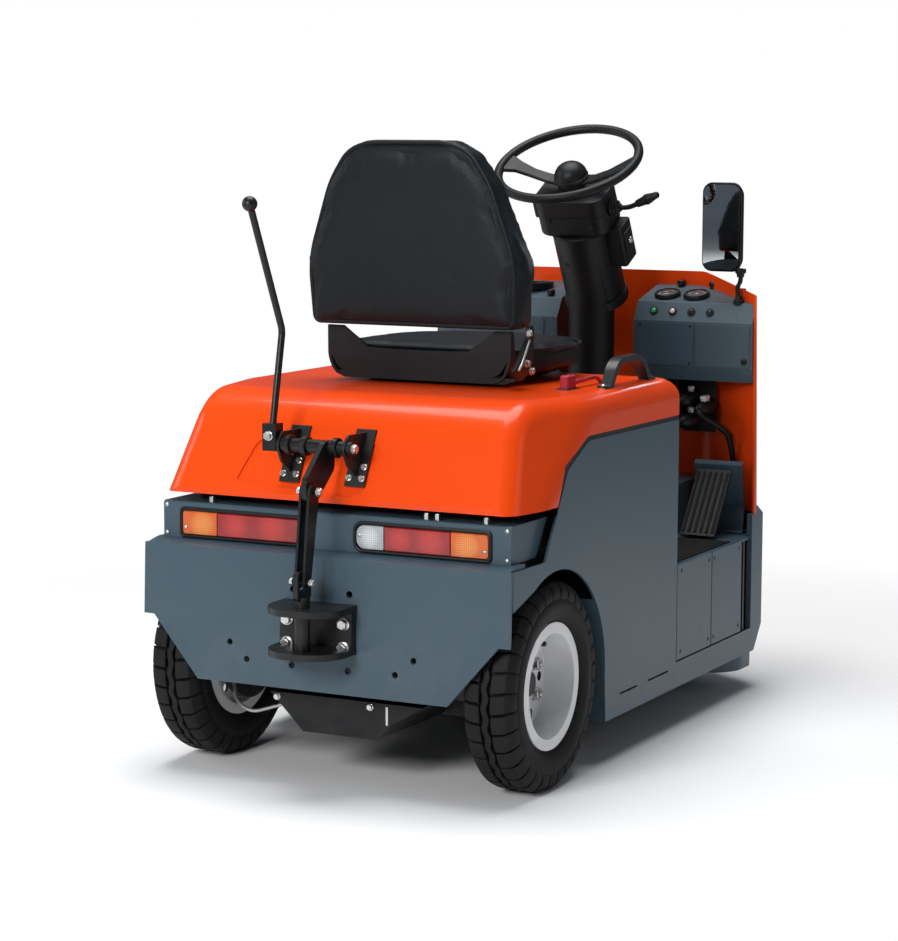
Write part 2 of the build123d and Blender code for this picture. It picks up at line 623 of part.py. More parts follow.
def valance_plan(inset, shift, rear_station, z):
    """A plan outline of the front valance at one height, as a face."""
    side = HALF_WIDTH - inset
    nose = NOSE_HALF_WIDTH - inset * 0.35
    rows = [(-side, rear_station, 0), (-side, VALANCE_CORNER_STATION - shift - inset * 0.3, 25),
            (-nose, NOSE_STATION - shift - inset, 90), (nose, NOSE_STATION - shift - inset, 90),
            (side, VALANCE_CORNER_STATION - shift - inset * 0.3, 25), (side, rear_station, 0)]
    return Plane(origin=(0, REAR_Y, z), x_dir=(1, 0, 0), z_dir=(0, 0, -1)) * outline(rows)


def front_valance():
    """The grey wall round the nose below the cowl, with a chamfered foot and cap."""
    rows = ((SKIRT_BOTTOM_Z, VALANCE_FOOT), (VALANCE_CHAMFER_Z, 0.0), (VALANCE_TOP_Z, 0.0),
            (VALANCE_CAP_Z, VALANCE_CAP))
    shell = None
    for (z_low, shift_low), (z_high, shift_high) in zip(rows, rows[1:]):
        outer = loft([valance_plan(0, shift_low, VALANCE_REAR_STATION, z_low),
                      valance_plan(0, shift_high, VALANCE_REAR_STATION, z_high)], ruled=True)
        inner = loft([valance_plan(VALANCE_WALL, shift_low, VALANCE_REAR_STATION - 20, z_low),
                      valance_plan(VALANCE_WALL, shift_high, VALANCE_REAR_STATION - 20, z_high)], ruled=True)
        ring = outer - inner
        shell = ring if shell is None else shell + ring
    return shell - cowl_form(0, 0, COWL_REAR_STATION - 40, COWL_BOTTOM_Z, COWL_BOTTOM_Z + 60)


def front_guard():
    """The rounded guard under the nose, open round the steered wheel."""
    half = HALF_WIDTH - GUARD_INSET
    corner = VALANCE_CORNER_STATION - VALANCE_FOOT
    nose_half = NOSE_HALF_WIDTH - GUARD_INSET * 0.35
    front = NOSE_STATION - VALANCE_FOOT - GUARD_INSET
    guard = plan_form(
        [(-half, GUARD_REAR_STATION, 80), (half, GUARD_REAR_STATION, 80), (half, corner, 30),
         (nose_half, front, 60),
         (-nose_half, front, 60), (-half, corner, 30)], GUARD_LOW_Z, RAIL_LOW_Z)
    return guard - rod((0, FRONT_AXLE_STATION, 0), (0, FRONT_AXLE_STATION, 200), SWING_RADIUS)


def house_form(inset, z_low, z_high):
    """Plan form of the front wheelhouse."""
    half = HOUSE_HALF_WIDTH - inset
    return plan_form(
        [(-half, HOUSE_REAR_STATION + inset, 120 - inset), (half, HOUSE_REAR_STATION + inset, 120 - inset),
         (half, HOUSE_FRONT_STATION - inset, 40 - inset), (-half, HOUSE_FRONT_STATION - inset, 40 - inset)],
        z_low, z_high)


def front_wheelhouse():
    """The house over the steered wheel, with the steering head on top."""
    house = house_form(0, RAIL_TOP_Z, HOUSE_TOP_Z) - house_form(SIDE_SHEET, RAIL_TOP_Z - 1,
                                                                HOUSE_TOP_Z - PLATE)
    top = HOUSE_TOP_Z + HEAD_HEIGHT
    house += rod((0, FRONT_AXLE_STATION, HOUSE_TOP_Z - PLATE), (0, FRONT_AXLE_STATION, top), HEAD_RADIUS)
    return house - rod((0, FRONT_AXLE_STATION, HOUSE_TOP_Z - 40), (0, FRONT_AXLE_STATION, top + 1),
                       KINGPIN_RADIUS + BEARING_GAP)


def front_fork():
    """Crown, legs, kingpin and axle of the steered wheel."""
    crown_top = FORK_CROWN_Z + FORK_CROWN_HEIGHT
    under_house = HOUSE_TOP_Z - PLATE - MOVING_GAP
    half = FORK_LEG_X + FORK_LEG_THICK
    low, high = FRONT_AXLE_STATION - 55, FRONT_AXLE_STATION + 55
    fork = plan_form([(-half, low, 20), (half, low, 20), (half, high, 20), (-half, high, 20)],
                     FORK_CROWN_Z, crown_top)
    leg = side_form(
        [(low, FORK_CROWN_Z, 0), (high, FORK_CROWN_Z, 0), (FRONT_AXLE_STATION + 32, TYRE_RADIUS - 32, 31),
         (FRONT_AXLE_STATION - 32, TYRE_RADIUS - 32, 31)], FORK_LEG_X, half)
    centre = (FRONT_AXLE_STATION, TYRE_RADIUS)
    fork += [leg, mirrored(leg), rod((-half,) + centre, (half,) + centre, FORK_AXLE_RADIUS)]
    fork += rod((0, FRONT_AXLE_STATION, crown_top), (0, FRONT_AXLE_STATION, under_house), HEAD_RADIUS - 6)
    return fork + rod((0, FRONT_AXLE_STATION, crown_top),
                      (0, FRONT_AXLE_STATION, HOUSE_TOP_Z + HEAD_HEIGHT - 2), KINGPIN_RADIUS)


# Frame and drive

def rail(x_low, x_high):
    """One rail: level under the battery, kicked up over the rear axle."""
    high = RAIL_KICK_Z
    upper = [(PLATE + 1, high, 0), (RAIL_KICK[0], high, 0), (RAIL_KICK[1], RAIL_TOP_Z, 0),
             (RAIL_END_STATION, RAIL_TOP_Z, 0)]
    lower = [(RAIL_END_STATION, RAIL_LOW_Z, 0), (RAIL_KICK[1] - 14, RAIL_LOW_Z, 0),
             (RAIL_KICK[0] - 14, high - RAIL_DEPTH, 0), (PLATE + 1, high - RAIL_DEPTH, 0)]
    return side_form(upper + lower, x_low, x_high)


def chassis_frame():
    """Two rails kicked up over the axle, rear posts, cross members and outriggers."""
    kick_low = RAIL_KICK_Z - RAIL_DEPTH
    foot = plate_station(kick_low) + PLATE
    parts = []
    for side in (-1, 1):
        xs = sorted((side * RAIL_INNER_X, side * RAIL_OUTER_X))
        parts.append(rail(*xs))
        parts.append(side_form([(PLATE, PLATE_TOP_Z - PLATE, 0), (POST_STATION, PLATE_TOP_Z - PLATE, 0),
                                (POST_STATION, kick_low, 0), (foot, kick_low, 0)], xs[0], xs[1]))
        saddle = block(xs, (REAR_AXLE_STATION - 40, REAR_AXLE_STATION + 40),
                       (TYRE_RADIUS + 10, kick_low + 1))
        parts.append(saddle - rod((-400, REAR_AXLE_STATION, TYRE_RADIUS),
                                  (400, REAR_AXLE_STATION, TYRE_RADIUS), AXLE_TUBE_RADIUS))
        for station in OUTRIGGER_STATIONS:
            wing = sorted((side * RAIL_OUTER_X, side * (HALF_WIDTH - SIDE_SHEET)))
            parts.append(block(wing, (station, station + PLATE), (RAIL_LOW_Z, FLOOR_Z - FLOOR_SHEET)))
    for station in CROSS_STATIONS:
        parts.append(block((-RAIL_INNER_X, RAIL_INNER_X), (station, station + 40), (RAIL_LOW_Z, RAIL_TOP_Z)))
    beam_top = PLATE_TOP_Z - PLATE
    parts.append(block((-RAIL_OUTER_X, RAIL_OUTER_X), (POST_STATION - 20, POST_STATION),
                       (beam_top - 82, beam_top)))
    frame = parts[0]
    for piece in parts[1:]:
        frame += piece
    return frame


def battery_block():
    """The battery as one plain block at its real place."""
    return block((-BATTERY_HALF_WIDTH, BATTERY_HALF_WIDTH), (BATTERY_REAR_STATION, HOOD_FRONT_STATION - 20),
                 (RAIL_TOP_Z, BATTERY_TOP_Z))


def drive_axle():
    """Axle tube, final drive, motor and brake drums."""
    centre = (REAR_AXLE_STATION, TYRE_RADIUS)
    axle = rod((-DRUM_INNER_X,) + centre, (DRUM_INNER_X,) + centre, AXLE_TUBE_RADIUS)
    for side in (-1, 1):
        axle += rod((side * DRUM_INNER_X,) + centre, (side * DRUM_OUTER_X,) + centre, DRUM_RADIUS)
        axle += rod((side * DRUM_OUTER_X,) + centre, (side * (REAR_WHEEL_X - 1),) + centre, STUB_RADIUS)
    case = side_form([(REAR_AXLE_STATION - 95, 130, 30), (REAR_AXLE_STATION - 95, 250, 40),
                      (REAR_AXLE_STATION - 20, 300, 50),
                      (REAR_AXLE_STATION + 100, 280, 40), (REAR_AXLE_STATION + 100, 130, 30)], -70, 60)
    motor = rod((60, REAR_AXLE_STATION - 10, 250), (RAIL_INNER_X - 11, REAR_AXLE_STATION - 10, 250), 80)
    return axle + case + motor


def cover_form(inset, station_low, station_high):
    """The drive cover's outline seen from behind, or the hollow inside it."""
    rows = []
    for x, z in COVER_ROWS:
        level = z + (inset and 1) if z == COVER_TOP_Z else z + inset
        rows.append((x - math.copysign(1.5 * inset, x), level, 0))
    return rear_form(rows, station_low, station_high)


def drive_cover():
    """The dark tray under the drive, with sloping sides."""
    low, high = COVER_STATIONS
    tray = cover_form(0, low, high) - cover_form(SHEET, low + SHEET, high - SHEET)
    axle = (REAR_AXLE_STATION, TYRE_RADIUS)
    return tray - rod((-400,) + axle, (400,) + axle, AXLE_TUBE_RADIUS + MOVING_GAP)


# Wheels

def tyre(x_centre, station):
    """A solid cushion tyre out to its tread."""
    half = TYRE_WIDTH / 2
    top = TYRE_RADIUS
    profile = [(-RIM_FLANGE_HALF, RIM_SEAT_RADIUS), (RIM_FLANGE_HALF, RIM_SEAT_RADIUS),
               (RIM_FLANGE_HALF, RIM_FLANGE_RADIUS + 1), (half - 3, RIM_FLANGE_RADIUS + 14), (half, 150.0),
               (half - 2, top - TYRE_SHOULDER), (half - 9, top - 6), (half - 18, top),
               (-half + 18, top), (-half + 9, top - 6), (-half + 2, top - TYRE_SHOULDER), (-half, 150.0),
               (-half + 3, RIM_FLANGE_RADIUS + 14), (-RIM_FLANGE_HALF, RIM_FLANGE_RADIUS + 1)]
    return wheel_revolve(profile, x_centre, station, TYRE_RADIUS)


def rim(x_centre, station, side, disc_offset, hub_radius):
    """A pressed rim, its disc set in from the outer flange on the given side."""
    seat, flange, half = RIM_SEAT_RADIUS, RIM_FLANGE_RADIUS, RIM_FLANGE_HALF
    lip = half + RIM_SHEET
    inner = seat - RIM_SHEET
    disc_low = disc_offset - RIM_DISC / 2
    disc_high = disc_offset + RIM_DISC / 2
    profile = [(-lip, inner), (-lip, flange), (-half, flange), (-half, seat), (half, seat), (half, flange),
               (lip, flange), (lip, inner), (disc_high, inner), (disc_high, hub_radius),
               (disc_low, hub_radius),
               (disc_low, inner)]
    shape = wheel_revolve([(side * x, r) for x, r in profile], x_centre, station, TYRE_RADIUS)
    for index in range(NUT_COUNT):
        turn = math.radians((index + 0.5) * 360.0 / NUT_COUNT)
        s = station + VENT_CIRCLE_RADIUS * math.cos(turn)
        z = TYRE_RADIUS + VENT_CIRCLE_RADIUS * math.sin(turn)
        shape -= rod((x_centre - 60, s, z), (x_centre + 60, s, z), VENT_RADIUS)
    return shape


def wheel_nuts(x_face, side, station):
    """The ring of hexagon nuts on the disc's outer face."""
    nuts = []
    for index in range(NUT_COUNT):
        turn = math.radians(index * 360.0 / NUT_COUNT)
        s = station + NUT_CIRCLE_RADIUS * math.cos(turn)
        z = TYRE_RADIUS + NUT_CIRCLE_RADIUS * math.sin(turn)
        plane = Plane(origin=place(x_face, s, z), z_dir=(side, 0, 0))
        nuts.append(extrude(plane * RegularPolygon(NUT_ACROSS / 2, 6, major_radius=False),
                            amount=NUT_HEIGHT))
    return nuts


def rear_hub(side):
    """The rear hub on its stub, with flange, cap and nuts."""
    axle = (REAR_AXLE_STATION, TYRE_RADIUS)
    disc_face = side * (REAR_WHEEL_X + REAR_DISC_OFFSET + RIM_DISC / 2)
    flange_end = side * (REAR_WHEEL_X + REAR_DISC_OFFSET - RIM_DISC / 2)
    hub_start = side * (DRUM_OUTER_X + 3)
    hub = rod((hub_start,) + axle, (flange_end,) + axle, NUT_CIRCLE_RADIUS + 8)
    hub += rod((flange_end,) + axle, (side * (REAR_WHEEL_X + 14),) + axle, HUB_RADIUS)
    hub -= rod((hub_start - side,) + axle, (side * (REAR_WHEEL_X + 2),) + axle, STUB_RADIUS + BEARING_GAP)
    hub -= rod((side * (REAR_WHEEL_X + 8),) + axle, (side * (REAR_WHEEL_X + 15),) + axle, HUB_RADIUS - 7)
    return Compound(children=[hub] + wheel_nuts(disc_face, side, REAR_AXLE_STATION))


def front_hub():
    """The front wheel's hub, running on the fork's axle."""
    centre = (FRONT_AXLE_STATION, TYRE_RADIUS)
    reach = FORK_LEG_X - 3
    hub = rod((-reach,) + centre, (reach,) + centre, HUB_RADIUS)
    return hub - rod((-reach - 1,) + centre, (reach + 1,) + centre, FORK_AXLE_RADIUS + BEARING_GAP)


# Driver's place

def wing_z(share):
    """A height between the seat's floor and the foot of its back."""
    return SEAT_BASE_Z + share * (SEAT_BACK_LOW_Z - SEAT_BASE_Z)


def seat_floor(inset, z_low, z_high):
    """The seat's floor plan, square behind and round in front."""
    half = SHELL_HALF - inset
    return plan_form([(-half, SEAT_WALL_STATION, 0), (half, SEAT_WALL_STATION, 0),
                      (half, SEAT_FRONT_STATION - 25 - inset, CUSHION_ROUND - inset),
                      (-half, SEAT_FRONT_STATION - 25 - inset, CUSHION_ROUND - inset)], z_low, z_high)


def seat_base():
    """The seat's shell: floor, rear wall with its window, two runners and the right hinge plate."""
    rows = [(SHELL_HALF * wide, wing_z(share), 0) for wide, share in WING_ROWS + WINDOW_ROWS]
    rows += [(-x, z, 0) for x, z, turn in reversed(rows)]
    front = SEAT_WALL_STATION + SEAT_WALL
    base = seat_floor(0, SEAT_BASE_Z, SEAT_PAN_Z)
    base += rear_form(rows, SEAT_WALL_STATION, front)
    runner = (SEAT_WALL_STATION + 60, SEAT_FRONT_STATION - 160)
    for x in (-SHELL_HALF * 0.75, SHELL_HALF * 0.75):
        base += block((x - 20, x + 20), runner, (HOOD_TOP_Z, SEAT_BASE_Z))
    for side in (-1, 1):
        xs = sorted((side * (SHELL_HALF - SEAT_WALL), side * SHELL_HALF))
        base += side_form([(SEAT_WALL_STATION, SEAT_BASE_Z, 0), (SEAT_WALL_STATION, SEAT_BACK_LOW_Z, 0),
                           (front + 4, SEAT_BACK_LOW_Z, 0), (front + 30, SEAT_BASE_Z, 0)], xs[0], xs[1])
    return base + hinge_plate()


def hinge_plate():
    """The plate outside the seat's right corner that holds the back's hinge."""
    x_out = -SEAT_HALF_WIDTH - SEAT_WALL
    low = SEAT_PAN_Z
    plate = side_form([(SEAT_WALL_STATION - 44, low + 18, 5), (SEAT_WALL_STATION - 30, low + 8, 5),
                       (SEAT_WALL_STATION + 28, low - 8, 4),
                       (SEAT_WALL_STATION + 34, SEAT_BACK_LOW_Z + 10, 8),
                       (SEAT_WALL_STATION + 14, SEAT_BACK_LOW_Z + 14, 8),
                       (SEAT_WALL_STATION + 6, SEAT_BACK_LOW_Z - 12, 6)],
                      x_out, -SEAT_HALF_WIDTH)
    foot = block((-SEAT_HALF_WIDTH - 1, -SHELL_HALF + 10),
                 (SEAT_WALL_STATION + 4, SEAT_WALL_STATION + 26),
                 (SEAT_BASE_Z, SEAT_PAN_Z))
    return plate + foot


def seat_cushion():
    """The plain solid of the seat cushion, narrow behind and round in front."""
    half = SEAT_HALF_WIDTH - 1
    rear = SEAT_BACK_STATION + SEAT_BACK_THICK - 15
    right = [(CUSHION_REAR_HALF, rear, 30), (half, rear + 100, 60),
             (half, SEAT_FRONT_STATION, CUSHION_ROUND)]
    left = [(-x, station, turn) for x, station, turn in reversed(right)]
    return plan_form(right + left, SEAT_PAN_Z, CUSHION_TOP_Z)


def back_z(share):
    """A height between the foot and the top of the seat's back."""
    return SEAT_BACK_LOW_Z + share * (SEAT_BACK_TOP_Z - SEAT_BACK_LOW_Z)


def seat_back():
    """The plain solid of the seat back, tapered towards its top and leaning back."""
    tall = SEAT_BACK_TOP_Z - SEAT_BACK_LOW_Z
    right = [(SEAT_HALF_WIDTH * wide, back_z(share), tall * turn) for wide, share, turn in BACK_ROWS]
    left = [(-x, z, turn) for x, z, turn in reversed(right)]
    view = rear_form(right + left, SEAT_BACK_STATION - 60, SEAT_BACK_STATION + 120)
    top = SEAT_BACK_STATION - SEAT_BACK_LEAN
    rear, front = SEAT_BACK_STATION, SEAT_BACK_STATION + SEAT_BACK_THICK
    side = side_form([(rear, SEAT_BACK_LOW_Z, 8), (front - 8, SEAT_BACK_LOW_Z, 15),
                      (front, back_z(0.313), tall * 0.165),
                      (top + 50, SEAT_BACK_TOP_Z, tall * 0.055), (top, SEAT_BACK_TOP_Z, tall * 0.033)],
                     -SEAT_HALF_WIDTH - 15, SEAT_HALF_WIDTH + 15)
    return view & side


def column_point(distance, across=0.0):
    """A point down the steering column's axis from the wheel's centre, as (x, station, z)."""
    tilt = math.radians(COLUMN_TILT)
    return (across, WHEEL_STATION + distance * math.sin(tilt), WHEEL_Z - distance * math.cos(tilt))


def column_cover():
    """The upright tube and the tilted cover of the steering column."""
    upright = rod((0, COLUMN_STATION, CASE_TOP_Z), (0, COLUMN_STATION, COLUMN_BEND_Z), COLUMN_RADIUS)
    tilted = rod(column_point(SHROUD_END), column_point(COVER_END), COVER_RADIUS)
    return upright + tilted


def column_shroud():
    """The boxed shroud below the steering wheel."""
    plane = Plane(origin=place(*column_point(SHROUD_START)), x_dir=(1, 0, 0),
                  z_dir=(place(*column_point(1)) - place(*column_point(0))))
    shroud = extrude(plane * RectangleRounded(SHROUD_WIDTH, SHROUD_DEPTH, 28),
                     amount=SHROUD_END - SHROUD_START)
    return shroud - rod(column_point(SHROUD_START - 1), column_point(SHROUD_START + 32),
                        SHAFT_RADIUS + MOVING_GAP)


def steering_gear():
    """The flat chain case that joins the column to the steering head."""
    low = HOUSE_TOP_Z + HEAD_HEIGHT
    height = CASE_TOP_Z - low
    ends = [rod((0, station, low), (0, station, low + height),
                CASE_RADIUS) for station in (FRONT_AXLE_STATION, COLUMN_STATION)]
    middle = block((-CASE_RADIUS, CASE_RADIUS), (FRONT_AXLE_STATION, COLUMN_STATION), (low, CASE_TOP_Z))
    return middle + ends[0] + ends[1]


def steering_wheel():
    """Rim, two spokes, hub and shaft, dished towards the column."""
    axis = place(*column_point(1)) - place(*column_point(0))
    plane = Plane(origin=place(*column_point(0)), x_dir=(1, 0, 0), z_dir=axis)
    wheel = plane * Torus(WHEEL_RADIUS, WHEEL_TUBE)
    wheel += rod(column_point(WHEEL_DISH - 22), column_point(WHEEL_DISH + 22), WHEEL_HUB_RADIUS)
    for side in (-1, 1):
        wheel += rod(column_point(0, side * (WHEEL_RADIUS - 4)), column_point(WHEEL_DISH, side * 20),
                     WHEEL_TUBE - 1)
    wheel += rod(column_point(WHEEL_DISH + 20), column_point(SHROUD_START + 28), SHAFT_RADIUS)
    return wheel


def direction_lever():
    """The travel lever on the column's right side."""
    start = (-SHROUD_WIDTH / 2, 1108.0, 1040.0)
    elbow = (start[0] - 40, start[1], start[2])
    return bent_rod([start, elbow, (-190.0, 1100.0, 1070.0)], 20, 6.5)


def dash_profile(x_low, x_high):
    """One dash box between two x values, fitted inside the cowl."""
    box = side_form(
        [(DASH_STATION, DASH_LOW_Z, 0), (DASH_STATION, DASH_CREASE_Z, 3),
         (DASH_STATION + 25, DASH_BAND_Z, 3),
         (COWL_NOSE_STATION, DASH_FAR_Z, 0), (COWL_NOSE_STATION, DASH_BOTTOM_Z, 0),
         (DASH_STATION + 17, DASH_BOTTOM_Z, 0)],
        x_low, x_high)
    return box & cowl_form(COWL_SHEET, 0, COWL_REAR_STATION - 60, 600, 940)


def dash_dials():
    """Two round gauge bezels and the knobs on the right box."""
    dials = []
    rise = math.atan2(DASH_FAR_Z - DASH_BAND_Z, COWL_NOSE_STATION - DASH_STATION - 25)
    for x, station, radius, height in DIALS:
        z = DASH_BAND_Z + (station - DASH_STATION - 25) * math.tan(rise)
        base = place(x, station, z)
        up = Vector(0, math.sin(rise), math.cos(rise))
        dials.append(extrude(Plane(origin=base, z_dir=up) * Circle(radius), amount=height))
    return Compound(children=dials)


def grab_arch(inset):
    """The grab handle's side outline, or with an inset the hand's opening under it."""
    rear, front = GRAB_STATIONS
    top = GRAB_TOP_Z - inset
    turn = GRAB_ROUND - inset
    low = HOOD_TOP_Z - 20 - (inset and 5)
    return side_form([(rear - 14 + inset * 1.23, low, 0), (rear + 40 + inset * 0.51, top, turn),
                      (front - 44 - inset * 0.48, top, turn), (front + 15 - inset * 1.27, low, 0)],
                     -GRAB_X - GRAB_WIDTH / 2 - (inset and 1), -GRAB_X + GRAB_WIDTH / 2 + (inset and 1))


def grab_handle():
    """The moulded handle on the hood's right edge, with a foot at each end."""
    handle = grab_arch(0) - grab_arch(GRAB_THICK)
    half = GRAB_WIDTH / 2
    for low, high in ((GRAB_STATIONS[0] - GRAB_FOOT + 8, GRAB_STATIONS[0] + 10),
                      (GRAB_STATIONS[1] - 10, GRAB_STATIONS[1] + GRAB_FOOT - 8)):
        handle += plan_form([(-GRAB_X - half, low, 6), (-GRAB_X + half, low, 6), (-GRAB_X + half, high, 6),
                             (-GRAB_X - half, high, 6)], HOOD_TOP_Z - 15, HOOD_TOP_Z + 4)
    return handle - hood_form(0)


def mirror_head():
    """The mirror housing and its stalk from the cowl."""
    x_low, x_high = MIRROR_X
    z_low, z_high = MIRROR_Z
    head = rear_form([(x_low, z_low, 25), (x_high, z_low, 25), (x_high, z_high, 25), (x_low, z_high, 25)],
                     MIRROR_STATION, MIRROR_STATION + 28)
    stalk_x = x_low + 10
    foot = (stalk_x + 6, MIRROR_STATION + 22, DASH_BAND_Z - 15)
    stalk = rod((stalk_x, MIRROR_STATION + 14, z_low + 20), foot, MIRROR_STALK_RADIUS)
    return head + (stalk - dash_profile(x_low - 20, x_high))


def pedals():
    """The long accelerator pedal and the brake pedal with its arm."""
    plate = side_form([(station, z, 0) for station, z in PEDAL_ROWS], *PEDAL_X)
    return plate + side_form([(station, z, 0) for station, z in BRAKE_ROWS], *BRAKE_X)


# Hitch and its release

def hitch_bracket():
    """The two-plate hitch with bolt flanges, open to the rear between its plates."""
    depth = HITCH_FLANGE_DEPTH
    bracket = None
    for low, high in ((HITCH_TOP_Z - HITCH_PLATE, HITCH_TOP_Z), (HITCH_LOW_Z, HITCH_LOW_Z + HITCH_PLATE)):
        rear = -HITCH_PIN_REACH - HITCH_NOSE
        plate = plan_form([(-HITCH_HALF, PLATE, 0), (HITCH_HALF, PLATE, 0), (HITCH_HALF, rear, HITCH_ROUND),
                           (-HITCH_HALF, rear, HITCH_ROUND)], low, high)
        bracket = plate if bracket is None else bracket + plate
    for side in (-1, 1):
        xs = sorted((side * (HITCH_FLANGE_X - HITCH_FLANGE_HALF),
                     side * (HITCH_FLANGE_X + HITCH_FLANGE_HALF)))
        high, low = plate_station(HITCH_TOP_Z) - depth, plate_station(HITCH_LOW_Z) - depth
        bracket += side_form([(PLATE, HITCH_TOP_Z, 0), (PLATE, HITCH_LOW_Z, 0), (low, HITCH_LOW_Z, 0),
                              (high, HITCH_TOP_Z, 0)], xs[0], xs[1])
        for z in HITCH_BOLT_Z:
            bracket -= rod((side * HITCH_FLANGE_X, -60, z), (side * HITCH_FLANGE_X, 20, z),
                           HITCH_BOLT_RADIUS)
    bracket -= plate_slab(60)
    bore = HITCH_PIN_RADIUS + MOVING_GAP
    return bracket - rod((0, -HITCH_PIN_REACH, HITCH_LOW_Z - 1), (0, -HITCH_PIN_REACH, HITCH_TOP_Z + 1),
                         bore)


def hitch_pin():
    """The drop pin with its slotted eye."""
    reach = -HITCH_PIN_REACH
    pin = rod((0, reach, PIN_LOW_Z), (0, reach, PIN_EYE_Z - PIN_NECK), HITCH_PIN_RADIUS)
    low, high = PIN_EYE_Z - PIN_NECK - 6, PIN_EYE_Z + PIN_SLOT_RISE + PIN_EYE_WALL
    half = PIN_SLOT_HALF + PIN_EYE_WALL
    eye = side_form([(reach - half, low, 8), (reach + half, low, 8), (reach + half, high, 8),
                     (reach - half, high, 8)], -5, 5)
    slot_low, slot_high = PIN_EYE_Z - PIN_SLOT_RISE, PIN_EYE_Z + PIN_SLOT_RISE
    slot = side_form([(reach - PIN_SLOT_HALF, slot_low, 5), (reach + PIN_SLOT_HALF, slot_low, 5),
                      (reach + PIN_SLOT_HALF, slot_high, 5), (reach - PIN_SLOT_HALF, slot_high, 5)], -6, 6)
    return pin + eye - slot


def lever_arm_eye():
    """Station and z of the bolt between arm and link."""
    return (LEVER_STATION - ARM_REACH, LEVER_Z - ARM_DROP)


def release_lever():
    """The hand lever, its torsion bar and the lifting arm."""
    eye = lever_arm_eye()
    bar = rod((LEVER_X + 8, LEVER_STATION, LEVER_Z), (-RIGHT_EAR_X - 14, LEVER_STATION, LEVER_Z),
              TORSION_RADIUS)
    arm = side_form([(LEVER_STATION + 16, LEVER_Z + 14, 12), (LEVER_STATION - 20, LEVER_Z + 12, 16),
                     (eye[0] - 22, eye[1] + 22, 20),
                     (eye[0] - 20, eye[1] - 20, 16), (eye[0] + 18, eye[1] - 20, 14),
                     (LEVER_STATION + 16, LEVER_Z - 40, 20)],
                    -5, 5)
    arm -= rod((-20,) + eye, (20,) + eye, LINK_BOLT_RADIUS + BEARING_GAP)
    socket = block((LEVER_X - 14, LEVER_X + 14), (LEVER_STATION - 14, LEVER_STATION + 14),
                   (LEVER_Z - 12, LEVER_Z + 38))
    kink = (LEVER_X, LEVER_STATION + LEVER_KINK[0], LEVER_Z + LEVER_KINK[1])
    tip = (LEVER_X, LEVER_STATION + LEVER_TIP[0], LEVER_Z + LEVER_TIP[1])
    handle = bent_rod([(LEVER_X, LEVER_STATION, LEVER_Z + 30), kink, tip], 30, 6.5)
    knob = Pos(*place(LEVER_X, tip[1] - 4, tip[2] + 8)) * Sphere(14)
    return bar + arm + socket + handle + knob


def hitch_link():
    """Two straps and their bolts between the lever's arm and the drop pin."""
    top = lever_arm_eye()
    foot = (-HITCH_PIN_REACH, PIN_EYE_Z)
    straps = []
    for side in (-1, 1):
        xs = sorted((side * 6.0, side * 11.0))
        straps.append(side_form([(top[0] - 18, top[1] + 14, 12), (top[0] + 18, top[1] + 14, 12),
                                 (foot[0] + 12, foot[1] - 12, 10), (foot[0] - 12, foot[1] - 12, 10)],
                                 xs[0], xs[1]))
    link = straps[0] + straps[1]
    for station, z in (top, foot):
        link += rod((-16, station, z), (16, station, z), LINK_BOLT_RADIUS)
    return link


def lever_brackets():
    """Two brackets on the hood's back that carry the torsion bar."""
    slope = (HOOD_CREST_STATION - HOOD_REAR_STATION) / (HOOD_TOP_Z - HOOD_REAR_Z - 10)
    def face(z):
        return HOOD_REAR_STATION + (z - HOOD_REAR_Z - 10) * slope
    shapes = []
    for x_low, x_high in ((LEFT_EAR_X - 5, LEFT_EAR_X), (-RIGHT_EAR_X - 5, -RIGHT_EAR_X)):
        low, high = LEVER_Z - 57, LEVER_Z + 23
        ear = side_form([(face(low), low, 0), (LEVER_STATION - 2, LEVER_Z - 32, 12),
                         (LEVER_STATION - 20, LEVER_Z, 16),
                         (LEVER_STATION, LEVER_Z + 24, 12), (face(high), high, 0)], x_low, x_high)
        low, high = low - 15, high + 5
        foot = side_form([(face(low), low, 0), (face(low) - 5, low, 0), (face(high) - 5, high, 0),
                          (face(high), high, 0)],
                         x_low - 18, x_high + 18)
        ear += foot
        shapes.append(ear - rod((-300, LEVER_STATION, LEVER_Z), (300, LEVER_STATION, LEVER_Z),
                                TORSION_RADIUS + MOVING_GAP))
    return Compound(children=shapes)


def headlamps():
    """Two round headlamps in the cowl."""
    lamps = []
    for x in (-HEADLAMP_X, HEADLAMP_X):
        lamps.append(rod((x, COWL_NOSE_STATION - 34, HEADLAMP_Z), (x, COWL_NOSE_STATION - 4, HEADLAMP_Z),
                         HEADLAMP_RADIUS - MOVING_GAP))
    return Compound(children=lamps)


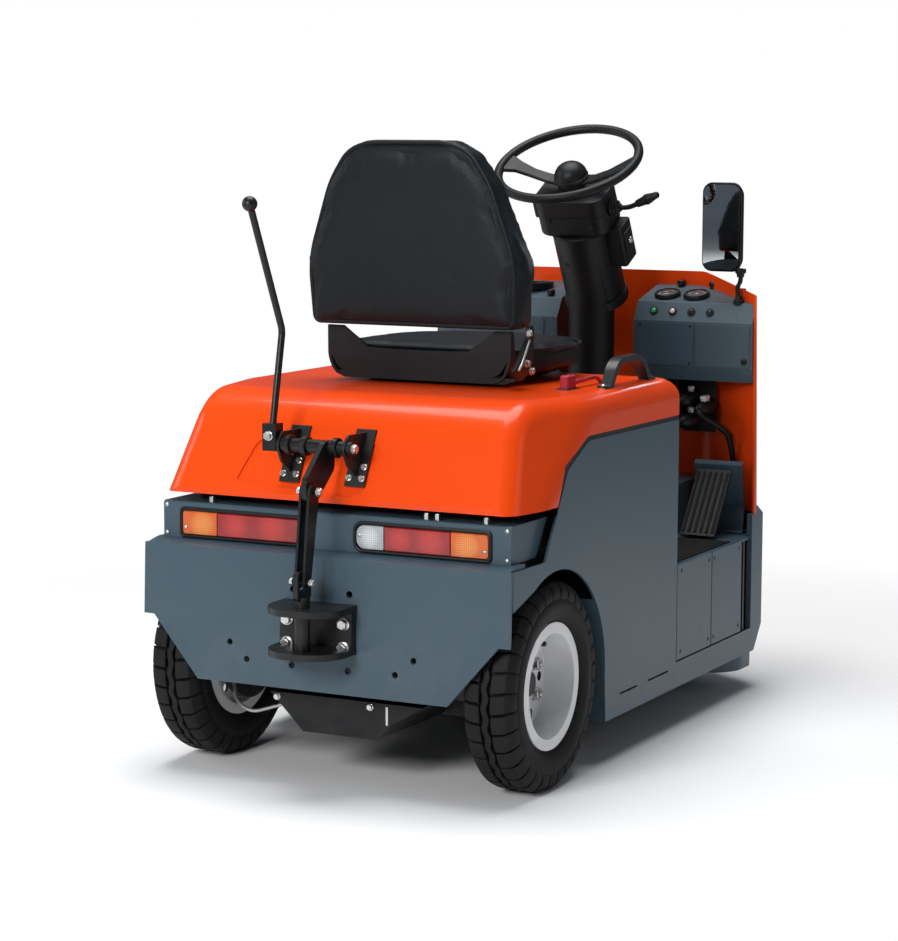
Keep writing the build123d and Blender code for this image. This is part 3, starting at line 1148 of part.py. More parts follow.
def build_nodes():
    """Every node by name."""
    nodes = {
        "chassis_frame": chassis_frame(), "rear_plate": rear_plate(), "tail_section": tail_section(),
        "hood": hood(),
        "side_panel_left": side_panel(), "side_panel_right": mirrored(side_panel()),
        "seam_trims": Compound(children=[seam_trim(), mirrored(seam_trim())]), "step_panels": step_panels(),
        "floor_plate": floor_plate(), "bulkhead": bulkhead(), "front_wheelhouse": front_wheelhouse(),
        "front_cowl": front_cowl(), "front_valance": front_valance(), "front_guard": front_guard(),
        "dash_right": dash_profile(-HALF_WIDTH, -DASH_RIGHT_X),
        "dash_left": dash_profile(DASH_LEFT_X, HALF_WIDTH),
        "dash_dials": dash_dials(), "column_cover": column_cover(), "column_shroud": column_shroud(),
        "steering_gear": steering_gear(), "direction_lever": direction_lever(), "pedals": pedals(),
        "seat_base": seat_base(), "seat_cushion": seat_cushion(), "seat_back": seat_back(),
        "grab_handle": grab_handle(),
        "mirror_head": mirror_head(), "headlamps": headlamps(), "battery_block": battery_block(),
        "drive_axle": drive_axle(), "drive_cover": drive_cover(), "hitch_bracket": hitch_bracket(),
        "lever_brackets": lever_brackets(), "front_fork": front_fork(),
        "front_tyre": tyre(0, FRONT_AXLE_STATION), "front_rim": rim(0, FRONT_AXLE_STATION, 1, 0, HUB_RADIUS),
        "front_hub": front_hub(), "steering_wheel": steering_wheel(), "release_lever": release_lever(),
        "hitch_link": hitch_link(), "hitch_pin": hitch_pin()}
    nodes.update(tail_lamps())
    for name, side in (("left", 1), ("right", -1)):
        nodes["rear_tyre_" + name] = tyre(side * REAR_WHEEL_X, REAR_AXLE_STATION)
        nodes["rear_rim_" + name] = rim(side * REAR_WHEEL_X, REAR_AXLE_STATION, side, REAR_DISC_OFFSET,
                                        HUB_RADIUS)
        nodes["rear_hub_" + name] = rear_hub(side)
    return nodes


def main():
    """Write one file for each node."""
    os.makedirs("parts", exist_ok=True)
    for name, shape in build_nodes().items():
        export_step(shape, os.path.join("parts", name + ".step"))
        print(name, round(shape.volume / 1000.0), "cm3")


if __name__ == "__main__":
    main()
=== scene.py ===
"""The looks of a seated three-wheel baggage tug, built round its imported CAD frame.

Sizes in the classes are millimetres. A station is the distance ahead of the rear plate's top edge,
the vehicle faces -Y, and its right side is at -X.
"""

import json
import logging
import math
from dataclasses import dataclass
from enum import Enum
from functools import cache
from typing import Callable, Optional, Sequence

import bpy
from mathutils import Matrix, Vector

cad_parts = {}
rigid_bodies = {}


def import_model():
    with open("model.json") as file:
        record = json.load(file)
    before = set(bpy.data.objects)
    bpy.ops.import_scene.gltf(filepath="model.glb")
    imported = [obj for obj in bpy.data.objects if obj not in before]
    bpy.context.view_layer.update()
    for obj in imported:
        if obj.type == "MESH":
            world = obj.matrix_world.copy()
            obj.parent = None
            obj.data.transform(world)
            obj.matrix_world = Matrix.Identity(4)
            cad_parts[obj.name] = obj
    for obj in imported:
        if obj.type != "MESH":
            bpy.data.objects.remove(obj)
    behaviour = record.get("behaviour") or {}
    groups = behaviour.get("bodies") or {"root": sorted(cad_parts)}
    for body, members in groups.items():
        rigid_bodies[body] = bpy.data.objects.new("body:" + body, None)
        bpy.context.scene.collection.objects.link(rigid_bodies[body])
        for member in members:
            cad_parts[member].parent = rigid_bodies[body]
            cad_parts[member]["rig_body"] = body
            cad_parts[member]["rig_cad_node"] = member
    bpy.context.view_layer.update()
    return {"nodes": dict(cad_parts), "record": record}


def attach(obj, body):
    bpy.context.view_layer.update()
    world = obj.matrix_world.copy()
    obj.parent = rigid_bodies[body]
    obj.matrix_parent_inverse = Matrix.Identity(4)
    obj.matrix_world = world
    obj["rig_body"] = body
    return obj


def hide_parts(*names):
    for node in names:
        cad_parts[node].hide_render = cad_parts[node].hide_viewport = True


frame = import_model()

MM = 0.001
REAR_Y = 626.0
LOG = logging.getLogger("tug")

Colour = tuple[float, float, float]
Point = tuple[float, float, float]
Span = tuple[float, float]
Piece = bpy.types.Object
Tree = bpy.types.NodeTree
UP = Vector((0, 0, 1))
REAR = Vector((0, 1, 0))
LEFT = Vector((1, 0, 0))
ORIGIN = Vector((0, 0, 0))
WELD = 0.00002
WHEEL_RADIUS = 195.0
PLATE_TOP_Z = 434.0
PLATE_LEAN = 0.041


def at(x: float, station: float, z: float) -> Vector:
    """A point of the frame.

    Args:
        x: Millimetres across, the vehicle's left side positive.
        station: Millimetres ahead of the rear plate's top edge.
        z: Millimetres above the floor.

    Returns:
        The same point in metres, in the frame's own axes.
    """
    return Vector((x, REAR_Y - station, z)) * MM


def along(start: Vector, end: Vector) -> Matrix:
    """The turn that points +Z from one place to another.

    Args:
        start: Where the run starts.
        end: Where it ends.

    Returns:
        A 4x4 matrix with its origin at the start and +Z along the run.
    """
    turn = (end - start).to_track_quat("Z", "Y").to_matrix().to_4x4()
    return Matrix.Translation(start) @ turn


def rounded(middle: Vector, right: Vector, up: Vector, wide: float, tall: float, turn: float,
            steps: int = 6) -> list[Vector]:
    """A rectangle's outline with rounded corners.

    Args:
        middle: Its middle in metres.
        right: The way along its width.
        up: The way along its height.
        wide: Half its width in millimetres.
        tall: Half its height in millimetres.
        turn: Its corners' radius in millimetres.
        steps: Steps in each corner.

    Returns:
        The outline's points in order.
    """
    points = []
    for corner, (sx, sy) in enumerate(((1, 1), (-1, 1), (-1, -1), (1, -1))):
        for step in range(steps + 1):
            angle = (corner + step / steps) * math.pi / 2
            x = sx * (wide - turn) + turn * math.cos(angle)
            y = sy * (tall - turn) + turn * math.sin(angle)
            points.append(middle + (right * x + up * y) * MM)
    return points


# The bench: a modeller's own moves


class Bench:
    """Small moves of a modeller's hand, each made with Blender's operators."""

    @staticmethod
    def clear() -> None:
        """Leave nothing selected."""
        if bpy.context.object and bpy.context.object.mode != "OBJECT":
            bpy.ops.object.mode_set(mode="OBJECT")
        bpy.ops.object.select_all(action="DESELECT")

    @staticmethod
    def take(piece: Piece) -> Piece:
        """Select one piece alone and make it active."""
        Bench.clear()
        piece.select_set(True)
        bpy.context.view_layer.objects.active = piece
        return piece

    @staticmethod
    def settle(name: str) -> Piece:
        """Name the newest piece and put its place into its mesh.

        Args:
            name: The piece's name.

        Returns:
            The piece, with its object at the origin.
        """
        piece = bpy.context.object
        piece.name = name
        piece.data.name = name
        bpy.ops.object.transform_apply(location=True, rotation=True, scale=True)
        return piece

    @staticmethod
    def box(name: str, low: Vector, high: Vector) -> Piece:
        """A block between two corners, as a start for a piece.

        Args:
            name: The piece's name.
            low: Its lowest corner in metres.
            high: Its highest corner in metres.

        Returns:
            The block.
        """
        Bench.clear()
        bpy.ops.mesh.primitive_cube_add(size=1, location=(low + high) / 2, scale=high - low)
        return Bench.settle(name)

    @staticmethod
    def bar(name: str, start: Vector, end: Vector, radius: float, sides: int = 32,
            tip: Optional[float] = None) -> Piece:
        """A round bar or a cone between two places.

        Args:
            name: The piece's name.
            start: Its first end in metres.
            end: Its other end in metres.
            radius: Its radius in metres.
            sides: How many sides its circle has.
            tip: Its radius at the other end, where that differs.

        Returns:
            The bar.
        """
        Bench.clear()
        bpy.ops.mesh.primitive_cone_add(
            vertices=sides, radius1=radius, radius2=radius if tip is None else tip, depth=(end - start).length)
        piece = bpy.context.object
        piece.matrix_world = along(start, end) @ Matrix.Translation((0, 0, (end - start).length / 2))
        return Bench.settle(name)

    @staticmethod
    def ring(name: str, place: Matrix, radius: float, tube: float, around: int, across: int) -> Piece:
        """A ring of round section.

        Args:
            name: The piece's name.
            place: Where its middle is, its axis along +Z.
            radius: From its middle to its tube's middle, in metres.
            tube: The tube's radius in metres.
            around: Steps round the ring.
            across: Steps round the tube.

        Returns:
            The ring.
        """
        Bench.clear()
        bpy.ops.mesh.primitive_torus_add(
            major_radius=radius, minor_radius=tube, major_segments=around, minor_segments=across)
        bpy.context.object.matrix_world = place
        return Bench.settle(name)

    @staticmethod
    def plate(name: str, outline: Sequence[Vector], depth: Vector) -> Piece:
        """A plate cut to an outline and drawn out to its thickness.

        Args:
            name: The piece's name.
            outline: The corners of its face, in order, in metres.
            depth: The way and distance in which the face is drawn out.

        Returns:
            The plate.
        """
        Bench.clear()
        bpy.ops.mesh.primitive_circle_add(vertices=len(outline), radius=1, fill_type="NGON")
        piece = Bench.settle(name)
        for vertex, corner in zip(piece.data.vertices, outline):
            vertex.co = corner
        Bench.edit(piece)
        bpy.ops.mesh.select_all(action="SELECT")
        bpy.ops.mesh.extrude_region_move(TRANSFORM_OT_translate={"value": depth})
        return Bench.outward(piece)

    @staticmethod
    def outward(piece: Piece) -> Piece:
        """Turn all faces of the piece in edit mode outward, and leave edit mode."""
        bpy.ops.mesh.select_all(action="SELECT")
        bpy.ops.mesh.normals_make_consistent(inside=False)
        return Bench.leave(piece)

    @staticmethod
    def turned(name: str, profile: Sequence[tuple[float, float]], centre: Vector, axis: Vector,
               steps: int = 64) -> Piece:
        """A piece turned on a lathe from a closed profile.

        Args:
            name: The piece's name.
            profile: Rows of (distance along the axis, radius), in millimetres.
            centre: A place on the axis.
            axis: The way the axis runs.
            steps: Steps round a full turn.

        Returns:
            The turned piece.
        """
        Bench.clear()
        bpy.ops.mesh.primitive_circle_add(vertices=len(profile), radius=1, fill_type="NOTHING")
        piece = Bench.settle(name)
        run = axis.normalized()
        out = run.orthogonal().normalized()
        for vertex, (distance, radius) in zip(piece.data.vertices, profile):
            vertex.co = centre + run * (distance * MM) + out * (radius * MM)
        Bench.edit(piece)
        bpy.ops.mesh.select_all(action="SELECT")
        bpy.ops.mesh.spin(steps=steps, angle=2 * math.pi, center=centre, axis=run)
        bpy.ops.mesh.select_all(action="SELECT")
        bpy.ops.mesh.remove_doubles(threshold=WELD)
        return Bench.outward(piece)

    @staticmethod
    def pipe(name: str, route: Sequence[Vector], radius: float, bend: float = 0.02, steps: int = 6) -> Piece:
        """A round pipe along straight runs with rounded corners.

        Args:
            name: The piece's name.
            route: Its corners in metres.
            radius: Its radius in metres.
            bend: How far from a corner its bend starts, in metres.
            steps: Steps round each bend.

        Returns:
            The pipe as a mesh.
        """
        points = [route[0]]
        for before, corner, after in zip(route, route[1:], route[2:]):
            back = (before - corner).normalized() * bend
            on = (after - corner).normalized() * bend
            for step in range(steps + 1):
                t = step / steps
                points.append(corner + back * (1 - t) ** 2 + on * t ** 2)
        return Bench.tube(name, points + [route[-1]], radius, 5, False)

    @staticmethod
    def cord(name: str, points: Sequence[Vector], radius: float) -> Piece:
        """A closed bead of round section through points.

        Args:
            name: The piece's name.
            points: The points that it passes, in order, in metres.
            radius: Its radius in metres.

        Returns:
            The bead as a mesh.
        """
        return Bench.smooth(Bench.tube(name, points, radius, 3, True))

    @staticmethod
    def tube(name: str, points: Sequence[Vector], radius: float, fineness: int, closed: bool) -> Piece:
        """A round section drawn along points.

        Args:
            name: The piece's name.
            points: The points of its middle line, in metres.
            radius: Its radius in metres.
            fineness: How fine its section is.
            closed: Whether its end meets its start. An open one is capped.

        Returns:
            The tube as a mesh.
        """
        Bench.clear()
        bpy.ops.curve.primitive_nurbs_path_add()
        piece = bpy.context.object
        piece.data.splines.clear()
        line = piece.data.splines.new("POLY")
        line.points.add(len(points) - 1)
        for place, point in zip(line.points, points):
            place.co = (*point, 1)
        line.use_cyclic_u = closed
        piece.data.bevel_depth = radius
        piece.data.bevel_resolution = fineness
        piece.data.use_fill_caps = not closed
        bpy.ops.object.convert(target="MESH")
        return Bench.settle(name)

    @staticmethod
    def block(name: str, across: Span, stations: Span, heights: Span, turn: float = 1.5, segments: int = 2) -> Piece:
        """A block with rounded edges, sizes in millimetres.

        Args:
            name: The piece's name.
            across: Its lowest and highest x.
            stations: Its rear and front station.
            heights: Its lowest and highest z.
            turn: The round of its edges.
            segments: Steps in each round.

        Returns:
            The block.
        """
        low, high = at(across[0], stations[1], heights[0]), at(across[1], stations[0], heights[1])
        return Bench.soften(Bench.box(name, low, high), turn * MM, segments)

    @staticmethod
    def strip(name: str, rows: Sequence[tuple[Vector, Vector]], wall: float) -> Piece:
        """A strap or a bent sheet through rows of two edge points.

        Args:
            name: The piece's name.
            rows: The two edge points of each row, in order, in metres.
            wall: Its thickness in metres.

        Returns:
            The strap.
        """
        Bench.clear()
        bpy.ops.mesh.primitive_grid_add(x_subdivisions=1, y_subdivisions=len(rows) - 1, size=1)
        piece = Bench.settle(name)
        levels = sorted({round(v.co.y, 4) for v in piece.data.vertices})
        for vertex in piece.data.vertices:
            vertex.co = rows[levels.index(round(vertex.co.y, 4))][0 if vertex.co.x < 0 else 1]
        return Bench.modify(piece, "SOLIDIFY", thickness=wall, offset=0)

    @staticmethod
    def modify(piece: Piece, kind: str, **settings: object) -> Piece:
        """Put a modifier on a piece and apply it.

        Args:
            piece: The piece.
            kind: The modifier's type.
            **settings: Its settings by name.

        Returns:
            The same piece.
        """
        Bench.take(piece)
        modifier = piece.modifiers.new(kind.lower(), kind)
        for label, value in settings.items():
            setattr(modifier, label, value)
        bpy.ops.object.modifier_apply(modifier=modifier.name)
        return piece

    @staticmethod
    def paint(piece: Piece, finish: "Finish", test: Callable[[Vector, Vector], bool]) -> Piece:
        """Give some faces of a dressed piece a second finish.

        Args:
            piece: The piece.
            finish: The second finish.
            test: Takes a face's middle and its normal.

        Returns:
            The same piece.
        """
        piece.data.materials.append(finish.build())
        for face in piece.data.polygons:
            if test(face.center, face.normal):
                face.material_index = len(piece.data.materials) - 1
        return piece

    @staticmethod
    def edit(piece: Piece, kind: str = "FACE") -> None:
        """Take a piece into edit mode with one kind of part picked."""
        Bench.take(piece)
        bpy.context.tool_settings.mesh_select_mode = (kind == "VERT", kind == "EDGE", kind == "FACE")
        bpy.ops.object.mode_set(mode="EDIT")

    @staticmethod
    def leave(piece: Piece) -> Piece:
        """Leave edit mode."""
        bpy.ops.object.mode_set(mode="OBJECT")
        return piece

    @staticmethod
    def pick(piece: Piece, test: Callable[[Vector, Vector], bool]) -> None:
        """Go into edit mode with the faces selected that pass a test.

        Args:
            piece: The piece to work on.
            test: Takes a face's middle and its normal.
        """
        Bench.take(piece)
        for row in (piece.data.vertices, piece.data.edges, piece.data.polygons):
            for part in row:
                part.select = False
        for face in piece.data.polygons:
            face.select = test(face.center, face.normal)
        Bench.edit(piece)

    @staticmethod
    def soften(piece: Piece, width: float, segments: int = 2, angle: float = 30.0) -> Piece:
        """Round the sharp edges of a piece.

        Args:
            piece: The piece to round.
            width: The round's width in metres.
            segments: Steps in the round.
            angle: Edges sharper than this, in degrees, are rounded.

        Returns:
            The same piece.
        """
        Bench.modify(piece, "BEVEL", width=width, segments=segments, limit_method="ANGLE",
                     angle_limit=math.radians(angle), miter_outer="MITER_ARC")
        return Bench.modify(Bench.smooth(piece), "WEIGHTED_NORMAL", keep_sharp=True)

    @staticmethod
    def smooth(piece: Piece, angle: float = 35.0) -> Piece:
        """Shade a piece smooth, apart from its sharp edges."""
        Bench.take(piece)
        bpy.ops.object.shade_smooth_by_angle(angle=math.radians(angle))
        return piece

    @staticmethod
    def copied(piece: Piece, name: str, place: Matrix) -> Piece:
        """A copy of a piece, moved, with its own mesh.

        Args:
            piece: The piece to copy.
            name: The copy's name.
            place: The move from the piece to its copy.

        Returns:
            The copy, with its place in its mesh.
        """
        copy = piece.copy()
        copy.data = piece.data.copy()
        copy.data.transform(place)
        copy.name = name
        copy.data.name = name
        bpy.context.scene.collection.objects.link(copy)
        return copy

    @staticmethod
    def join(name: str, pieces: Sequence[Piece]) -> Piece:
        """Join pieces into one.

        Args:
            name: The name of what they make.
            pieces: The pieces.

        Returns:
            The joined piece.
        """
        Bench.take(pieces[0])
        for piece in pieces:
            piece.select_set(True)
        bpy.ops.object.join()
        return Bench.settle(name)

    @staticmethod
    def merged(node: str, name: str) -> Piece:
        """A clean copy of a CAD node, its loose triangles merged and its flat faces made whole.

        Args:
            node: The CAD node's name.
            name: The copy's name.

        Returns:
            The copy.
        """
        copy = Bench.copied(frame["nodes"][node], name, Matrix())
        copy.parent = None
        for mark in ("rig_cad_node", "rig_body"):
            if mark in copy:
                del copy[mark]
        copy.data.materials.clear()
        Bench.take(copy)
        if copy.data.has_custom_normals:
            bpy.ops.mesh.customdata_custom_splitnormals_clear()
        Bench.edit(copy, "VERT")
        bpy.ops.mesh.select_all(action="SELECT")
        bpy.ops.mesh.remove_doubles(threshold=WELD)
        bpy.ops.mesh.dissolve_limited(angle_limit=math.radians(1.0))
        return Bench.leave(copy)


# Finishes


class Texture(Enum):
    """The small relief of a surface."""

    PAINT = "orange_peel"
    PEBBLE = "pebbled_plastic"
    HIDE = "vinyl_hide"
    CAST = "cast_skin"
    BRUSHED = "drawn_metal"
    RUBBER = "moulded_rubber"


class Effects:
    """Shared surface effects, each a node group that is built once."""

    @classmethod
    def start(cls, name: str, inputs: Sequence[tuple[str, float]], output: str = "Mask") -> tuple:
        """Open a new group with its sockets.

        Args:
            name: The group's name.
            inputs: Rows of (name, usual value).
            output: The name of its one output.

        Returns:
            The group, its input node and its output socket.
        """
        tree = bpy.data.node_groups.new(name, "ShaderNodeTree")
        for label, usual in inputs:
            socket = tree.interface.new_socket(label, in_out="INPUT", socket_type="NodeSocketFloat")
            socket.default_value = usual
        tree.interface.new_socket(output, in_out="OUTPUT", socket_type="NodeSocketFloat")
        return tree, tree.nodes.new("NodeGroupInput"), tree.nodes.new("NodeGroupOutput").inputs[output]

    @staticmethod
    def place(tree: Tree) -> object:
        """The socket of the Object coordinates."""
        return tree.nodes.new("ShaderNodeTexCoord").outputs["Object"]

    @classmethod
    def axes(cls, tree: Tree) -> object:
        """The sockets of the three Object coordinates."""
        split = tree.nodes.new("ShaderNodeSeparateXYZ")
        tree.links.new(cls.place(tree), split.inputs["Vector"])
        return split.outputs

    @classmethod
    def noise(cls, tree: Tree, scale: object, detail: float = 3.0,
              stretch: Optional[Point] = None) -> object:
        """A noise over Object coordinates.

        Args:
            tree: The tree it goes into.
            scale: A number, or the socket that gives it.
            detail: How fine the noise goes.
            stretch: Scales along the three axes, for a drawn or brushed look.

        Returns:
            The socket of its value.
        """
        where = cls.place(tree)
        if stretch:
            mapping = tree.nodes.new("ShaderNodeMapping")
            mapping.inputs["Scale"].default_value = stretch
            tree.links.new(where, mapping.inputs["Vector"])
            where = mapping.outputs["Vector"]
        noise = tree.nodes.new("ShaderNodeTexNoise")
        noise.inputs["Detail"].default_value = detail
        tree.links.new(where, noise.inputs["Vector"])
        if isinstance(scale, float):
            noise.inputs["Scale"].default_value = scale
        else:
            tree.links.new(scale, noise.inputs["Scale"])
        return noise.outputs["Fac"]

    @classmethod
    def sum(cls, tree: Tree, kind: str, first: object, second: object, clamp: bool = False) -> object:
        """One step of arithmetic on two values.

        Args:
            tree: The tree it goes into.
            kind: The operation's name.
            first: A socket or a number.
            second: A socket or a number.
            clamp: Whether the result stays from 0 to 1.

        Returns:
            The socket of the result.
        """
        node = tree.nodes.new("ShaderNodeMath")
        node.operation = kind
        node.use_clamp = clamp
        for socket, value in zip(node.inputs, (first, second)):
            if isinstance(value, (int, float)):
                socket.default_value = value
            else:
                tree.links.new(value, socket)
        return node.outputs["Value"]

    @classmethod
    def ramp(cls, tree: Tree, value: object, low: float, high: float) -> object:
        """A value stretched so that low gives 0 and high gives 1."""
        node = tree.nodes.new("ShaderNodeMapRange")
        node.inputs["From Min"].default_value = low
        node.inputs["From Max"].default_value = high
        tree.links.new(value, node.inputs["Value"])
        return node.outputs["Result"]

    @classmethod
    @cache
    def tone(cls) -> Tree:
        """Soft patches by which a colour and its gloss wander."""
        tree, start, end = cls.start("tone_patches", [("Scale", 6.0)])
        tree.links.new(cls.ramp(tree, cls.noise(tree, start.outputs["Scale"], 5.0), 0.3, 0.7), end)
        return tree

    @classmethod
    @cache
    def dust(cls) -> Tree:
        """Road dust that thins out with height."""
        tree, start, end = cls.start("road_dust", [("Amount", 0.3), ("Height", 0.5)])
        low = cls.sum(tree, "DIVIDE", cls.axes(tree)["Z"], start.outputs["Height"])
        low = cls.sum(tree, "SUBTRACT", 1.0, low, True)
        cloud = cls.ramp(tree, cls.noise(tree, 23.0, 6.0), 0.35, 0.75)
        body = cls.sum(tree, "MULTIPLY", low, cloud)
        tree.links.new(cls.sum(tree, "MULTIPLY", body, start.outputs["Amount"], True), end)
        return tree

    @classmethod
    @cache
    def scuffs(cls) -> Tree:
        """Fine rubs and scratches."""
        tree, start, end = cls.start("fine_scuffs", [("Amount", 0.3)])
        sharp = cls.ramp(tree, cls.noise(tree, 40.0, 8.0, (1.0, 0.18, 1.0)), 0.62, 0.72)
        patch = cls.ramp(tree, cls.noise(tree, 7.0, 2.0), 0.45, 0.65)
        both = cls.sum(tree, "MULTIPLY", sharp, patch)
        tree.links.new(cls.sum(tree, "MULTIPLY", both, start.outputs["Amount"], True), end)
        return tree

    @classmethod
    @cache
    def spot(cls) -> Tree:
        """A soft round place about an x and a z: the mask of the lenses' painted reflections of their lamp bowls."""
        tree, start, end = cls.start("painted_bowl_reflection", [("X", 0.0), ("Z", 0.0), ("Radius", 0.03)])
        axes = cls.axes(tree)
        squares = []
        for axis in ("X", "Z"):
            gap = cls.sum(tree, "SUBTRACT", axes[axis], start.outputs[axis])
            gap = cls.sum(tree, "DIVIDE", gap, start.outputs["Radius"])
            squares.append(cls.sum(tree, "MULTIPLY", gap, gap))
        away = cls.sum(tree, "ADD", *squares)
        tree.links.new(cls.sum(tree, "SUBTRACT", 1.0, away, True), end)
        return tree

    @classmethod
    @cache
    def grid(cls) -> Tree:
        """Fine upright and level lines."""
        tree, start, end = cls.start("lens_grid", [("Pitch", 0.004)])
        axes = cls.axes(tree)
        lines = []
        for axis in ("X", "Z"):
            step = cls.sum(tree, "DIVIDE", axes[axis], start.outputs["Pitch"])
            lines.append(cls.sum(tree, "GREATER_THAN", cls.sum(tree, "FRACT", step, 0.0), 0.72))
        tree.links.new(cls.sum(tree, "MAXIMUM", *lines), end)
        return tree

    @classmethod
    @cache
    def relief(cls, texture: Texture) -> Tree:
        """The small relief of one kind of surface.

        Args:
            texture: Which kind.

        Returns:
            The group, with a Height output.
        """
        tree, _, end = cls.start(texture.value, [], "Height")
        if texture in (Texture.PEBBLE, Texture.HIDE):
            cells = tree.nodes.new("ShaderNodeTexVoronoi")
            cells.feature = "SMOOTH_F1" if texture is Texture.PEBBLE else "DISTANCE_TO_EDGE"
            cells.inputs["Scale"].default_value = 620.0 if texture is Texture.PEBBLE else 430.0
            tree.links.new(cls.place(tree), cells.inputs["Vector"])
            height = cls.sum(tree, "MINIMUM", cells.outputs["Distance"], 0.45)
            height = cls.sum(tree, "ADD", height, cls.sum(tree, "MULTIPLY", cls.noise(tree, 60.0, 3.0), 0.5))
        elif texture is Texture.BRUSHED:
            height = cls.noise(tree, 90.0, 6.0, (1.0, 14.0, 14.0))
        else:
            sizes = {Texture.PAINT: 210.0, Texture.CAST: 420.0, Texture.RUBBER: 300.0}
            height = cls.noise(tree, sizes[texture], 1.5 if texture is Texture.PAINT else 5.0)
        tree.links.new(height, end)
        return tree


@dataclass(frozen=True)
class Finish:
    """A surface finish with its colour, gloss, relief, dust and rubs."""

    name: str
    colour: Colour
    roughness: float = 0.5
    metallic: float = 0.0
    coat: float = 0.0
    specular: float = 0.35
    texture: Texture = Texture.PAINT
    relief: float = 0.05
    tone: float = 0.10
    tone_scale: float = 5.0
    dust: float = 0.25
    dust_height: float = 0.55
    dust_colour: Colour = (0.23, 0.21, 0.19)
    scuff: float = 0.15
    scuff_colour: Colour = (0.5, 0.5, 0.5)

    def build(self) -> bpy.types.Material:
        """Make the material, or give the one that is made already.

        Returns:
            The material.
        """
        known = bpy.data.materials.get(self.name)
        if known:
            return known
        material = bpy.data.materials.new(self.name)
        material.use_nodes = True
        tree = material.node_tree
        shader = tree.nodes["Principled BSDF"]
        for label, value in (("Metallic", self.metallic), ("Coat Weight", self.coat), ("Coat Roughness", 0.06),
                             ("Specular IOR Level", self.specular)):
            shader.inputs[label].default_value = value
        tone = self.effect(tree, Effects.tone(), Scale=self.tone_scale)
        dust = self.effect(tree, Effects.dust(), Amount=self.dust, Height=self.dust_height)
        scuff = self.effect(tree, Effects.scuffs(), Amount=self.scuff)
        dark = tuple(c * (1 - self.tone) for c in self.colour)
        light = tuple(min(1.0, c * (1 + self.tone)) for c in self.colour)
        colour = self.blend(tree, tone, dark, light)
        colour = self.blend(tree, scuff, colour, self.scuff_colour)
        colour = self.blend(tree, dust, colour, self.dust_colour)
        tree.links.new(colour, shader.inputs["Base Color"])
        rough = Effects.sum(tree, "MULTIPLY", tone, 0.08)
        rough = Effects.sum(tree, "ADD", rough, self.roughness - 0.04)
        rough = Effects.sum(tree, "ADD", rough, Effects.sum(tree, "MULTIPLY", dust, 0.35), True)
        tree.links.new(rough, shader.inputs["Roughness"])
        bump = tree.nodes.new("ShaderNodeBump")
        bump.inputs["Strength"].default_value = min(1.0, self.relief * 4)
        bump.inputs["Distance"].default_value = 0.0006
        tree.links.new(self.effect(tree, Effects.relief(self.texture)), bump.inputs["Height"])
        tree.links.new(bump.outputs["Normal"], shader.inputs["Normal"])
        self.finish_off(tree, shader)
        return material

    def finish_off(self, tree: Tree, shader: bpy.types.Node) -> None:
        """What a special finish adds at the end."""

    @staticmethod
    def effect(tree: Tree, group: Tree, **values: float) -> object:
        """Place a shared effect in a material.

        Args:
            tree: The material's nodes.
            group: The effect.
            **values: Its inputs, by name.

        Returns:
            The socket of its output.
        """
        node = tree.nodes.new("ShaderNodeGroup")
        node.node_tree = group
        for label, value in values.items():
            node.inputs[label].default_value = value
        return node.outputs[0]

    @staticmethod
    def blend(tree: Tree, mask: object, first: object, second: object) -> object:
        """Blend two colours by a mask.

        Args:
            tree: The material's nodes.
            mask: The mask's socket.
            first: A colour or a socket, shown where the mask is 0.
            second: A colour or a socket, shown where it is 1.

        Returns:
            The socket of the blended colour.
        """
        node = tree.nodes.new("ShaderNodeMix")
        node.data_type = "RGBA"
        tree.links.new(mask, node.inputs[0])
        for index, value in ((6, first), (7, second)):
            if isinstance(value, tuple):
                node.inputs[index].default_value = (*value, 1.0)
            else:
                tree.links.new(value, node.inputs[index])
        return node.outputs[2]


@dataclass(frozen=True)
class LensFinish(Finish):
    """Moulded lamp plastic with a fine grid inside, and painted reflections of the bulbs' silver bowls as lighter
    places.
    """

    coat: float = 0.6
    relief: float = 0.01
    dust: float = 0.0
    scuff: float = 0.0
    clear: float = 0.0
    # The colour of the painted bowl reflections, and their places as rows of (x, z, radius).
    bright: Colour = (1.0, 1.0, 1.0)
    spots: tuple = ()

    def finish_off(self, tree: Tree, shader: bpy.types.Node) -> None:
        """Add the painted bowl reflections and the grid, and let some light through."""
        shader.inputs["Transmission Weight"].default_value = self.clear
        shader.inputs["IOR"].default_value = 1.49
        colour = shader.inputs["Base Color"].links[0].from_socket
        # Painted reflections: lighter round places where the silver bowls behind the lens would reflect the lamps.
        for x, z, radius in self.spots:
            mask = self.effect(tree, Effects.spot(), X=x, Z=z, Radius=radius)
            mask = Effects.sum(tree, "MULTIPLY", mask, 0.6)
            colour = self.blend(tree, mask, colour, self.bright)
        lines = self.effect(tree, Effects.grid(), Pitch=0.0042)
        colour = self.blend(tree, Effects.sum(tree, "MULTIPLY", lines, 0.45), colour,
                            tuple(c * 0.35 for c in self.colour))
        tree.links.new(colour, shader.inputs["Base Color"])


class Slot(Enum):
    """The record's material slots, by the finish that stands for each."""

    BODY = "body_paint"
    ORANGE = "orange_paint"
    BLACK = "black_paint"
    BATTERY = "battery_case"
    HITCH = "hitch_steel"
    BRIGHT = "bright_steel"
    CHROME = "chrome_bar"
    PLASTIC = "black_plastic"
    GREY = "grey_plastic"
    VINYL = "vinyl"
    RIM = "white_rim"
    HUB = "hub_steel"
    TYRE = "tyre_rubber"
    RED = "red_lens"
    AMBER = "amber_lens"
    CLEAR = "clear_lens"


